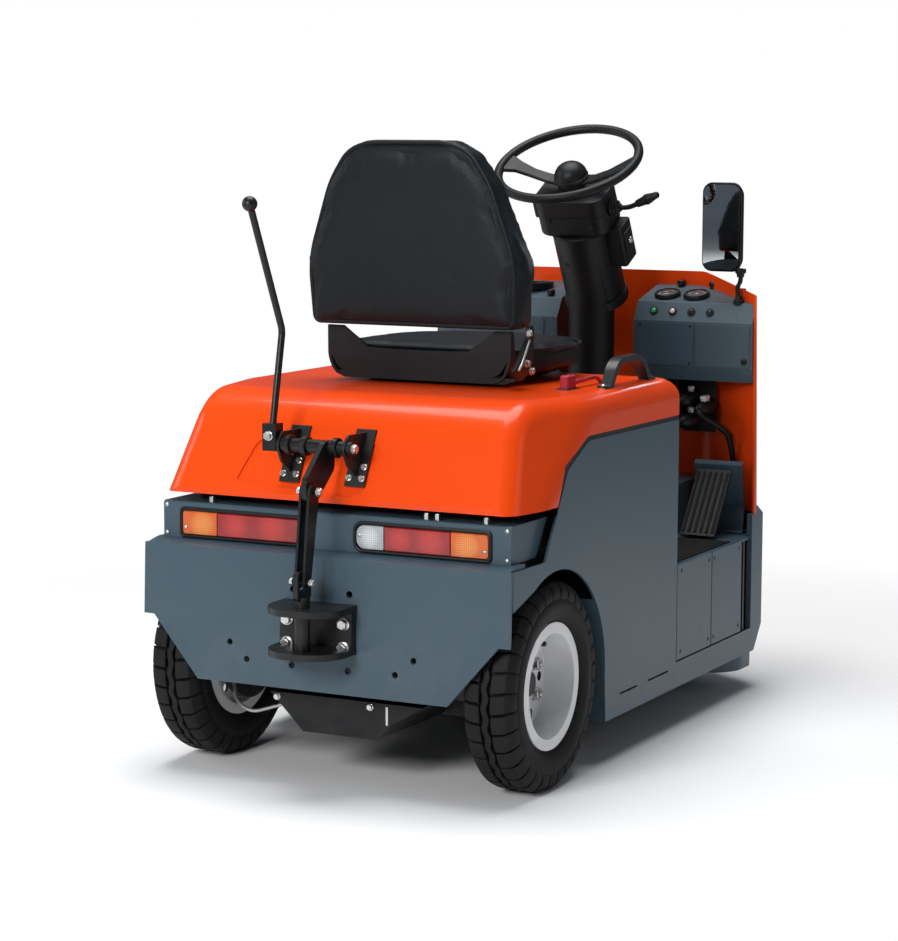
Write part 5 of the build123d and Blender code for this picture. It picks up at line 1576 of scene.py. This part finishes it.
@dataclass
class Dash:
    """The two dash boxes with gauges, buttons, a lid and a lock."""

    front: float = 1180.0
    edge: tuple[float, float] = (1205.0, 836.0)
    slope: float = 0.2734
    buttons: tuple = ((-146, "green_lamp"), (-190, "white_lamp"), (-233, "dark_button"), (-276, "dark_button"))
    dials: tuple = (-158.0, -226.0)

    def top(self, x: float, station: float, lift: float = 0.0) -> Vector:
        """A point on the dash's sloping top face."""
        return at(x, station, self.edge[1] + (station - self.edge[0]) * self.slope + lift)

    def build(self) -> None:
        """Make the boxes and all that sits on them."""
        stand_in("dash_right", Slot.GREY, 2.2, 3)
        stand_in("dash_left", Slot.GREY, 2.2, 3)
        self.lids()
        self.gauges()
        self.controls()

    def lids(self) -> None:
        """The lighter lid on the right box, the plain one beside it and the left box's tray."""
        for name, low, high, slot in (("dash_lid", -243, -112, Slot.BODY), ("dash_side_lid", -372, -249, Slot.GREY),
                                      ("dash_left_lid", 112, 372, Slot.GREY)):
            outline = rounded(at((low + high) / 2, self.front + 1, 746), LEFT, UP, (high - low) / 2, 46, 5)
            plate = Bench.plate(name, outline, Vector((0, 3.2 * MM, 0)))
            dress(Bench.soften(plate, 1.0 * MM, 2), slot)
        screws = [(at(x, self.front - 2, z), REAR) for x in (-236, -119) for z in (706, 786)]
        Fastener.spread("dash_lid_screws", Fastener.domed(3.2, 1.5), screws, Slot.HUB)

    def gauges(self) -> None:
        """Two gauges, each a bezel, a dark face with marks and a needle, and a clear dome."""
        up = Vector((0, 0.2637, 0.9646))
        bezels, marks, domes = [], [], []
        for number, x in enumerate(self.dials):
            foot = self.top(x, 1240)
            rim = [(-1, 20), (-1, 28.5), (6, 29), (9.5, 26.5), (10, 23.5), (5, 22), (5, 20)]
            bezels.append(Bench.turned("bezel", rim, foot, up, 56))
            bezels.append(Bench.turned("face", [(-1, 0), (-1, 22), (4.6, 22), (4.6, 0)], foot, up, 40))
            frame_of = along(foot, foot + up)
            for index in range(11):
                tick = Bench.box("tick", Vector((-0.45, 14.5, 4.6)) * MM, Vector((0.45, 20.0, 5.0)) * MM)
                turn = Matrix.Rotation(math.radians(index * 24 - 120), 4, "Z")
                tick.data.transform(frame_of @ turn)
                marks.append(tick)
            needle = Bench.bar("needle", Vector((0, -3, 5.6)) * MM, Vector((0, 17, 5.6)) * MM, 1.3 * MM, 8, 0.3 * MM)
            needle.data.transform(frame_of @ Matrix.Rotation(math.radians(55 - 100 * number), 4, "Z"))
            marks.append(needle)
            dome = [(6, 0), (6, 23), (8, 23), (9.6, 14), (10.2, 0)]
            domes.append(Bench.turned("dome", dome, foot, up, 48))
        shown = fit("gauges", bezels, Slot.PLASTIC)
        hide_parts("dash_dials")
        dress(Bench.join("gauge_marks", marks), Slot.RIM)
        fit("gauge_glass", domes, Slot.CLEAR, finish=SPECIALS["gauge_glass"])

    def controls(self) -> None:
        """Buttons on the band, knobs and plugs on the top, the lock, and the left box's cup."""
        band = Vector((0, 0.854, 0.521))
        for number, (x, finish) in enumerate(self.buttons):
            foot = at(x, 1192.5, 815.5)
            ring = [(-1, 0), (-1, 9), (2, 9.2), (3.4, 8.2), (3.4, 6.2), (2.2, 6), (2.2, 0)]
            bezel = Bench.turned(f"button_ring_{number}", ring, foot, band, 32)
            dress(Bench.smooth(bezel, 40), Slot.PLASTIC)
            cap = [(2, 0), (2, 5.9), (4.2, 5.6), (5.6, 3.6), (6, 0)]
            lens = Bench.turned(f"button_{number}", cap, foot, band, 24)
            dress(Bench.smooth(lens, 60), Slot.PLASTIC, finish=SPECIALS[finish])
        knob = [(-1, 0), (-1, 6), (3, 6), (4, 9.5), (12, 9), (14, 7), (14.5, 0)]
        parts = []
        for x, station in ((-163, 1305), (-240, 1300), (-322, 1262), (112, 1216)):
            parts.append(Bench.turned("knob", knob, self.top(x, station), UP, 28))
        cup = [(-2, 0), (-2, 34), (8, 36), (12, 38), (14, 37), (14, 33), (4, 30), (2, 0)]
        parts.append(Bench.turned("cup", cup, self.top(168, 1262), UP, 48))
        fit("dash_knobs", parts, Slot.PLASTIC)
        Fastener.spread("dash_lock", Fastener.domed(7.5, 3.5, 0.5), [(at(-361, self.front - 2, 714), REAR)], Slot.HUB)


@dataclass
class Mirror:
    """The side mirror: a rounded housing, a glass set into it and a bent stalk."""

    low: tuple = (-350.0, 903.0)
    high: tuple = (-252.0, 1096.0)
    aim: float = 6.0
    curve: float = 1100.0
    corner: float = 19.0
    station: float = 1218.0
    arm: float = 1204.0

    def build(self) -> None:
        """Make the housing, sink its glass and bend the stalk."""
        x, z = (self.low[0] + self.high[0]) / 2, (self.low[1] + self.high[1]) / 2
        wide, tall = (self.high[0] - self.low[0]) / 2, (self.high[1] - self.low[1]) / 2
        outline = rounded(at(x, self.station, z), LEFT, UP, wide, tall, 24, 8)
        housing = Bench.plate("mirror_housing", outline, Vector((0, 26 * MM, 0)))
        Bench.pick(housing, lambda centre, normal: normal.y < -0.9)
        bpy.ops.transform.resize(value=(0.82, 1, 0.9), center_override=at(x, self.station, z))
        Bench.leave(housing)
        Bench.soften(housing, 5 * MM, 4)
        Bench.pick(housing, lambda centre, normal: normal.y > 0.98)
        bpy.ops.mesh.inset(thickness=1.5 * MM)
        bpy.ops.transform.translate(value=(0, -3 * MM, 0))
        Bench.leave(housing)
        Bench.smooth(housing, 40)
        glass = self.glass(x, z, wide - 6.5, tall - 6.5)
        hang = Matrix.Translation(at(x, self.arm, z))
        turned = hang @ Matrix.Rotation(math.radians(-self.aim), 4, "Z") @ hang.inverted()
        for piece in (housing, glass):
            piece.data.transform(turned)
        dress(housing, Slot.PLASTIC)
        dress(glass, Slot.BRIGHT, finish=SPECIALS["mirror_glass"])
        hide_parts("mirror_head")
        stalk = Bench.pipe("mirror_stalk", [at(-340, self.arm, 912), at(-340, 1206, 884), at(-331, 1210, 872),
                                            at(-334, 1212, 832)], 5 * MM, 0.008)
        socket = [(-4, 0), (-4, 12), (4, 12), (7, 8.5), (14, 7.5), (15, 0)]
        base = Bench.turned("base", socket, at(-334, 1212, 838), UP, 28)
        clamp = Bench.turned("clamp", socket, at(-340, self.arm, 907), -UP, 28)
        fit("mirror_stalk", [stalk, base, clamp], Slot.PLASTIC)

    def glass(self, x: float, z: float, wide: float, tall: float) -> Piece:
        """The slightly domed glass with rounded corners.

        Args:
            x: Its middle's x.
            z: Its middle's height.
            wide: Half its width.
            tall: Half its height.

        Returns:
            The glass.
        """
        Bench.clear()
        bpy.ops.mesh.primitive_grid_add(x_subdivisions=24, y_subdivisions=48, size=2)
        glass = Bench.settle("mirror_glass")
        for vertex in glass.data.vertices:
            across, up = vertex.co.x * wide, vertex.co.y * tall
            past = (abs(across) - wide + self.corner, abs(up) - tall + self.corner)
            if min(past) > 0:
                pull = max(past) / math.hypot(*past)
                across = math.copysign(wide - self.corner + past[0] * pull, across)
                up = math.copysign(tall - self.corner + past[1] * pull, up)
            sag = (across ** 2 + up ** 2) / (2 * self.curve)
            vertex.co = at(x + across, 1191.0 + sag - 2.5, z + up)
        Bench.edit(Bench.modify(glass, "SOLIDIFY", thickness=6 * MM, offset=0))
        return Bench.smooth(Bench.outward(glass), 40)


# Lamps


@dataclass
class Lamps:
    """Tail lamps with a gasket and screws, and headlamps with their cans."""

    outer: float = 324.0
    inner: float = 50.0
    amber: float = 245.0
    clear: float = 110.0
    z: float = 471.0
    tall: float = 44.0
    turns: tuple[float, float] = (17.0, 7.0)

    def build(self) -> None:
        """Make the lenses, gaskets, screws and the headlamps."""
        spans = {"lens_red": (Slot.RED, ((1, self.inner, self.amber), (-1, self.clear, self.amber))),
                 "lens_amber": (Slot.AMBER, ((1, self.amber, self.outer), (-1, self.amber, self.outer))),
                 "lens_clear": (Slot.CLEAR, ((-1, self.inner, self.clear),))}
        for node, (slot, rows) in spans.items():
            parts = [Bench.plate("lens", self.outline(side, near, far, 34.0, -3.0), Vector((0, -14 * MM, 0)))
                     for side, near, far in rows]
            lens = Bench.soften(Bench.join(node + "_shown", parts), 2.0 * MM, 3)
            dress(lens, slot)
            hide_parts(node)
        for side in (-1, 1):
            outline = self.outline(side, self.inner, self.outer, 36.5, 1.0)
            gasket = Bench.cord(("lamp_gasket_left", "lamp_gasket_right")[side < 0], outline, 3.6 * MM)
            dress(gasket, Slot.PLASTIC)
        screws = [(at(x, 34.2, z), REAR) for x, z in ((314, 462), (-314, 462), (60, 474), (-60, 474))]
        Fastener.spread("lamp_screws", Fastener.domed(3.4, 1.6), screws)
        supports = [Bench.block("support", (x - 4, x + 4), (46, 56), (508, 522), 1.5) for x in (265, -190, -212, -310)]
        dress(Bench.join("hood_rests", supports), Slot.BRIGHT)
        for x, word in ((140, "left"), (-140, "right")):
            self.headlamp("headlamp_" + word, x)

    def outline(self, side: int, near: float, far: float, station: float, grow: float) -> list[Vector]:
        """A length of the lamp's outline, rounded at the lamp's own ends and square at a cut.

        Args:
            side: The side of the vehicle.
            near: Its inner end's x.
            far: Its outer end's x.
            station: Where it stands.
            grow: How far it is outside the lamp's ends and edges.

        Returns:
            The outline's points.
        """
        half = self.tall / 2 + 3 + grow
        low, high = self.z - half, self.z + half
        ends = [near - grow if near == self.inner else near + 0.6, far + grow if far == self.outer else far - 0.6]
        turns = [self.turns[0] if near == self.inner else 0.0, self.turns[1] if far == self.outer else 0.0]
        points = []
        for end, way, level, up, start in ((1, 1, low, -1, -90), (1, 1, high, 1, 0), (0, -1, high, 1, 90),
                                           (0, -1, low, -1, 180)):
            turn = turns[end]
            for step in range(8 if turn else 1):
                angle = math.radians(start + step * 90 / 7)
                points.append(at(side * (ends[end] - way * turn + turn * math.cos(angle)), station,
                                 level - up * turn + turn * math.sin(angle)))
        return points

    def headlamp(self, name: str, x: float) -> None:
        """One round headlamp with its bezel, bowl, glass and rear can.

        Args:
            name: The piece's name.
            x: Where its middle is.
        """
        middle, ahead = at(x, 1340, 600), Vector((0, -1, 0))
        rows = (("bezel", 64, Slot.PLASTIC, None,
                 [(-26, 49), (-26, 54.5), (-2, 54.5), (0, 58), (3.5, 57), (4, 52), (-1, 50.5)]),
                ("bowl", 64, Slot.BRIGHT, "lamp_silver",
                 [(-30, 0), (-30, 12), (-26, 28), (-14, 42), (-2, 49.5), (-4, 50.5), (-17, 44), (-30, 31), (-35, 14),
                  (-35, 0)]),
                ("glass", 64, Slot.CLEAR, "gauge_glass",
                 [(-3, 0), (-3, 50.8), (0, 50.8), (2, 40), (3.4, 20), (3.8, 0)]),
                ("can", 48, Slot.BLACK, None,
                 [(-78, 0), (-78, 20), (-70, 26), (-58, 28), (-52, 44), (-34, 54), (-28, 56), (-28, 0)]))
        for word, steps, slot, special, profile in rows:
            piece = Bench.turned(f"{name}_{word}", profile, middle, ahead, steps)
            dress(Bench.smooth(piece, 40), slot, finish=SPECIALS.get(special))
            if word == "glass":
                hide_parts("headlamps")


# Hitch and release


def plate_station(z: float) -> float:
    """The leaning rear plate's station at a height, in millimetres."""
    return -PLATE_LEAN * (PLATE_TOP_Z - z)


@dataclass
class Hitch:
    """The hitch's bolts, the drop pin and the hand lever with its brackets."""

    flange_x: float = 59.0
    bolt_z: tuple = (275.0, 319.0)

    def build(self) -> None:
        """Round the moving steel parts and add every bolt."""
        stand_in("hitch_pin", Slot.HITCH, 1.0, body="drop_pin")
        stand_in("hitch_link", Slot.HITCH, 1.0, body="link")
        stand_in("release_lever", Slot.HITCH, 1.2, body="lever")
        stand_in("lever_brackets", Slot.BLACK, 1.2)
        self.back()
        self.bolts()
        self.lever_fittings()

    def back(self) -> None:
        """The black web between the two flanges."""
        corners = [at(x, plate_station(z) - 0.2, z) for x, z in ((-44, 274), (44, 274), (44, 340), (-44, 340))]
        web = Bench.plate("hitch_web", corners, Vector((0, 5 * MM, 0)))
        dress(Bench.soften(web, 1.2 * MM, 2), Slot.HITCH)

    def bolts(self) -> None:
        """Four big flange bolts on the plate, and the bolts through the link's two ends."""
        way = Vector((0, 1, -PLATE_LEAN)).normalized()
        places = [(at(side * self.flange_x, plate_station(z) - 18, z), way) for side in (-1, 1) for z in self.bolt_z]
        Fastener.spread("hitch_bolts", Fastener.hexagon(17, 8, 12), places)
        for name, head, body, x, station, z in (("link_bolts", (13, 6, 8.5), "link", 16.2, -41, 559),
                                                ("pin_bolts", (11, 5, 7.5), "drop_pin", 17.2, -70, 398)):
            sides = [(at(side * x, station, z), Vector((side, 0, 0))) for side in (-1, 1)]
            Fastener.spread(name, Fastener.hexagon(*head), sides, body=body)

    def lever_fittings(self) -> None:
        """The torsion bar's collar and end bolts, and the bolts of the two brackets."""
        rows = [(0, 10), (0, 17), (1.5, 18.5), (10.5, 18.5), (12, 17), (12, 10)]
        parts = [Bench.turned("collar", rows, at(x, 25, 632), LEFT, 40) for x in (40, 74, -24)]
        fit("torsion_collars", parts, Slot.HITCH, "lever")
        ends = [(at(-51.5, 25, 632), Vector((-1, 0, 0))), (at(117, 10.8, 648), REAR)]
        Fastener.spread("torsion_bolts", Fastener.hexagon(14, 6, 9), ends, body="lever")
        slope = Vector((0, 0.895, 0.445))
        spots = []
        for x, z in ((84, 598), (84, 574), (111, 574), (-54, 574), (-54, 594), (-27, 574)):
            spots.append((at(x, 35 + (z - 537) * 0.497, z), slope))
        Fastener.spread("bracket_bolts", Fastener.hexagon(9, 4, 6), spots)


# Fittings on the body


@dataclass
class Handle:
    """The grab handle with its bolts and the red latch behind it."""

    x: float = -343.0

    def build(self) -> None:
        """Round the arch, bolt its feet and bend the latch."""
        stand_in("grab_handle", Slot.CHROME, 3.0, 3)
        bolts = [(at(self.x, station, 721.5), UP) for station in (479, 703)]
        Fastener.spread("grab_bolts", Fastener.domed(5.6, 3.4), bolts)
        block = Bench.block("latch_block", (-304, -286), (403, 442), (712, 745), 4, 4)
        dress(block, Slot.PLASTIC, finish=SPECIALS["red_plastic"])
        arm = Bench.pipe("latch_arm", [at(-300, 436, 729), at(-300, 541, 733), at(-300, 580, 713)], 4.2 * MM, 0.016)
        dress(Bench.smooth(arm, 40), Slot.PLASTIC, finish=SPECIALS["red_plastic"])
        dress(Bench.block("latch_plate", (-309, -281), (396, 449), (712, 720.5), 2), Slot.BLACK)


class Footwell:
    """The pedals' ribs and back plate, the floor mat and the brake fittings under the dash."""

    def build(self) -> None:
        """Make everything that the driver's feet meet."""
        stand_in("pedals", Slot.BLACK, 1.2)
        self.ribs()
        self.plates()
        self.brakes()
        self.mat()

    def ribs(self) -> None:
        """Six rubber ribs along the accelerator."""
        heel, toe = at(0, 1098, 345), at(0, 1196, 477)
        lift = Vector((0, 0.803, 0.596)) * 1.2 * MM
        parts = []
        for index in range(6):
            x = (-324 + index * 13.2) * MM
            rows = [(heel.lerp(toe, t) + lift + Vector((x - 3 * MM, 0, 0)), heel.lerp(toe, t) + lift + Vector(
                (x + 3 * MM, 0, 0))) for t in (0.05, 0.35, 0.65, 0.95)]
            parts.append(Bench.soften(Bench.strip("rib", rows, 3.6 * MM), 1.0 * MM, 2))
        dress(Bench.join("pedal_ribs", parts), Slot.TYRE)

    def plates(self) -> None:
        """The folded plate behind the pedals, painted as the body."""
        rows = [(at(-352, s, z), at(-240, s, z)) for s, z in ((1206, 338), (1214, 344), (1222, 400), (1216, 410),
                                                             (1206, 486), (1212, 494))]
        plate = Bench.soften(Bench.strip("pedal_plate", rows, 4 * MM), 1.0 * MM, 2)
        dress(plate, Slot.BODY)
        foot = Bench.block("pedal_plate_foot", (-352, -240), (1204, 1240), (336.5, 341), 1)
        dress(foot, Slot.BODY)
        bolts = [(at(x, 1228, 340.5), UP) for x in (-338, -254)]
        Fastener.spread("pedal_plate_bolts", Fastener.hexagon(10, 4, 7), bolts)

    def brakes(self) -> None:
        """Two brake cylinders with pale caps on a hanging bracket, with their pipe."""
        bracket = Bench.block("cylinder_bracket", (-262, -184), (1272, 1278), (548, 670), 2)
        parts = [bracket, Bench.block("bracket_side", (-190, -184), (1228, 1278), (560, 668), 2)]
        body = [(0, 0), (0, 17), (4, 19), (9, 19), (12, 16), (58, 16), (60, 12), (72, 9), (73, 0)]
        for x, z in ((-212, 622), (-250, 604), (-212, 576)):
            parts.append(Bench.turned("cylinder", body, at(x, 1274, z), REAR, 36))
        fit("brake_cylinders", parts, Slot.BLACK)
        cap = [(-6, 0), (-6, 6), (2, 6), (3, 7.5), (8, 7.5), (9.5, 6), (10, 0)]
        caps = []
        for x, station, z in ((-212, 1250, 640), (-250, 1246, 622), (-212, 1250, 594), (-250, 1228, 622)):
            caps.append(Bench.turned("cap", cap, at(x, station, z), UP, 28))
        fit("brake_caps", caps, Slot.RIM)
        route = [at(-250, 1210, 604), at(-252, 1190, 596), at(-306, 1232, 556), at(-312, 1250, 500),
                 at(-312, 1262, 336)]
        pipe = Bench.pipe("brake_pipe", route, 6.5 * MM, 0.022)
        union = [(0, 0), (0, 9), (3, 11), (14, 11), (17, 9), (17, 0)]
        collars = [Bench.turned("union", union, spot, UP, 24) for spot in (at(-312, 1252.5, 470), at(-312, 1262, 337))]
        fit("brake_pipe", [pipe] + collars, Slot.PLASTIC)

    def mat(self) -> None:
        """The ribbed rubber mat on the floor."""
        corners = ((-371, 770), (371, 770), (371, 1165), (232, 1165), (232, 882), (-232, 882), (-232, 1088),
                   (-371, 1088))
        mat = Bench.plate("mat", [at(x, s, 337) for x, s in corners], Vector((0, 0, 3 * MM)))
        parts = [Bench.soften(mat, 0.8 * MM, 1)]
        for low, high, rear, front in ((-364, -240, 776, 1080), (-232, 232, 776, 874), (240, 364, 776, 1158)):
            count = int((front - rear) // 14)
            for index in range(count):
                s = rear + 4 + index * 14
                parts.append(Bench.block("rib", (low, high), (s, s + 6), (339, 341.4), 0.7, 1))
        dress(Bench.join("floor_mat", parts), Slot.TYRE)


class Underside:
    """The drive cover's bolts, its bright edge and the brake rod to the left drum."""

    def build(self) -> None:
        """Bolt the cover and bend the rod."""
        bolts = [(at(x, 60, 151), REAR) for x in (131, -68)]
        Fastener.spread("cover_bolts", Fastener.hexagon(10, 4, 7), bolts)
        strip = Bench.block("cover_edge", (-106, -101), (57.5, 62), (120, 155), 1)
        dress(strip, Slot.BRIGHT)
        rod = Bench.pipe("brake_rod", [at(268, 128, 160), at(250, 104, 120), at(212, 100, 104), at(140, 106, 128)],
                         3.6 * MM, 0.02)
        dress(Bench.smooth(rod, 40), Slot.BRIGHT)


class BodyFasteners:
    """Small screws on the panels, and the seat's bright hinge strip."""

    def build(self) -> None:
        """Place the screws and the strip."""
        tail = [(at(x, 36.8, z), REAR) for x in (-357, 357) for z in (449, 502)]
        Fastener.spread("tail_screws", Fastener.domed(4.0, 2.0), tail)
        right = Vector((-1, 0, 0))
        side = [(at(-383, s, z), right) for s, z in ((790, 322), (940, 322), (970, 322), (1112, 322), (790, 156),
                                                    (940, 156), (970, 156), (1112, 156))]
        side += [(Vector((-p.x, p.y, p.z)), -w) for p, w in side]
        Fastener.spread("step_screws", Fastener.domed(4.2, 0.9), side, Slot.HUB)
        strip = Bench.pipe("hinge_strip", [at(-233.5, 336, 757), at(-234.5, 350, 772), at(-233.5, 382, 811)],
                           2.6 * MM, 0.008)
        dress(Bench.smooth(strip, 40), Slot.BRIGHT)
        hinge = [(at(-231.5, 380, 824), right), (at(-231.5, 372, 768), right), (at(-231.5, 392, 752), right)]
        Fastener.spread("hinge_bolts", Fastener.hexagon(11, 5, 7.5), hinge)


# CAD nodes that keep their shape


@dataclass
class Panels:
    """The CAD's own panels as copies with rounded edges, and the rest as they are."""

    rounded: tuple = (("rear_plate", Slot.BODY, 1.8), ("tail_section", Slot.BODY, 1.8), ("step_panels", Slot.BODY, 1.4),
                      ("hitch_bracket", Slot.HITCH, 1.8), ("side_panel_left", Slot.BODY, 1.4),
                      ("side_panel_right", Slot.BODY, 1.4), ("front_valance", Slot.BODY, 2.5),
                      ("front_cowl", Slot.ORANGE, 2.0), ("front_guard", Slot.BODY, 2.0),
                      ("floor_plate", Slot.BODY, 1.2), ("seat_base", Slot.PLASTIC, 1.6),
                      ("drive_cover", Slot.PLASTIC, 2.5), ("steering_gear", Slot.BLACK, 2.0),
                      ("front_fork", Slot.BLACK, 2.0))

    def build(self) -> None:
        """Round the panels' edges, and dress every CAD node that still shows."""
        for node, slot, width in self.rounded:
            stand_in(node, slot, width, body="fork" if node == "front_fork" else "chassis",
                     shape=self.tuck if node == "seat_base" else None)
        for row in frame["record"]["subparts"]:
            dress(frame["nodes"][row["node"]], Slot(row["material_slot"]), None)

    @staticmethod
    def tuck(piece: Piece, low: float = 725.0, rise: float = 55.0, inset: float = 0.19) -> None:
        """Draw the seat shell's lower corners in, as round as the photograph shows them.

        Args:
            piece: The shell.
            low: The height of its floor in millimetres.
            rise: How far up the corners reach.
            inset: The share of its width that goes at the floor.
        """
        Bench.edit(piece)
        for level in range(1, 8):
            bpy.ops.mesh.select_all(action="SELECT")
            bpy.ops.mesh.bisect(plane_co=(0, 0, (low + rise * level / 8) * MM), plane_no=(0, 0, 1))
        Bench.leave(piece)
        for vertex in piece.data.vertices:
            share = min(1.0, max(0.0, 1 - (vertex.co.z / MM - low) / rise))
            vertex.co.x *= 1 - inset * (1 - math.sqrt(1 - share * share))


def main() -> None:
    """Build every group in order, and log each one as it is built."""
    logging.basicConfig(level=logging.INFO, format="%(name)s: %(message)s")
    groups = [Studio(), Panels(), SeatBack(), SeatCushion(), SteeringWheel(), SteeringColumn(), Dash(), Mirror(),
              Lamps(), Hitch(), Handle(), Footwell(), Underside(), BodyFasteners()]
    wheels = (("rear_right", "rear_{}_right", -331.0, 195.0, -1), ("rear_left", "rear_{}_left", 331.0, 195.0, 1),
              ("front", "front_{}", 0.0, 1115.0, 0))
    groups += [Tyre("tyre_" + word, node.format("tyre"), node.format("wheel"), x, station)
               for word, node, x, station, _ in wheels]
    groups += [Wheel("wheel_" + word, node.format("rim"), node.format("hub"), node.format("wheel"), x, station, side)
               for word, node, x, station, side in wheels]
    for group in groups:
        group.build()
        LOG.info("built %s", type(group).__name__)


if __name__ == "__main__":
    main()
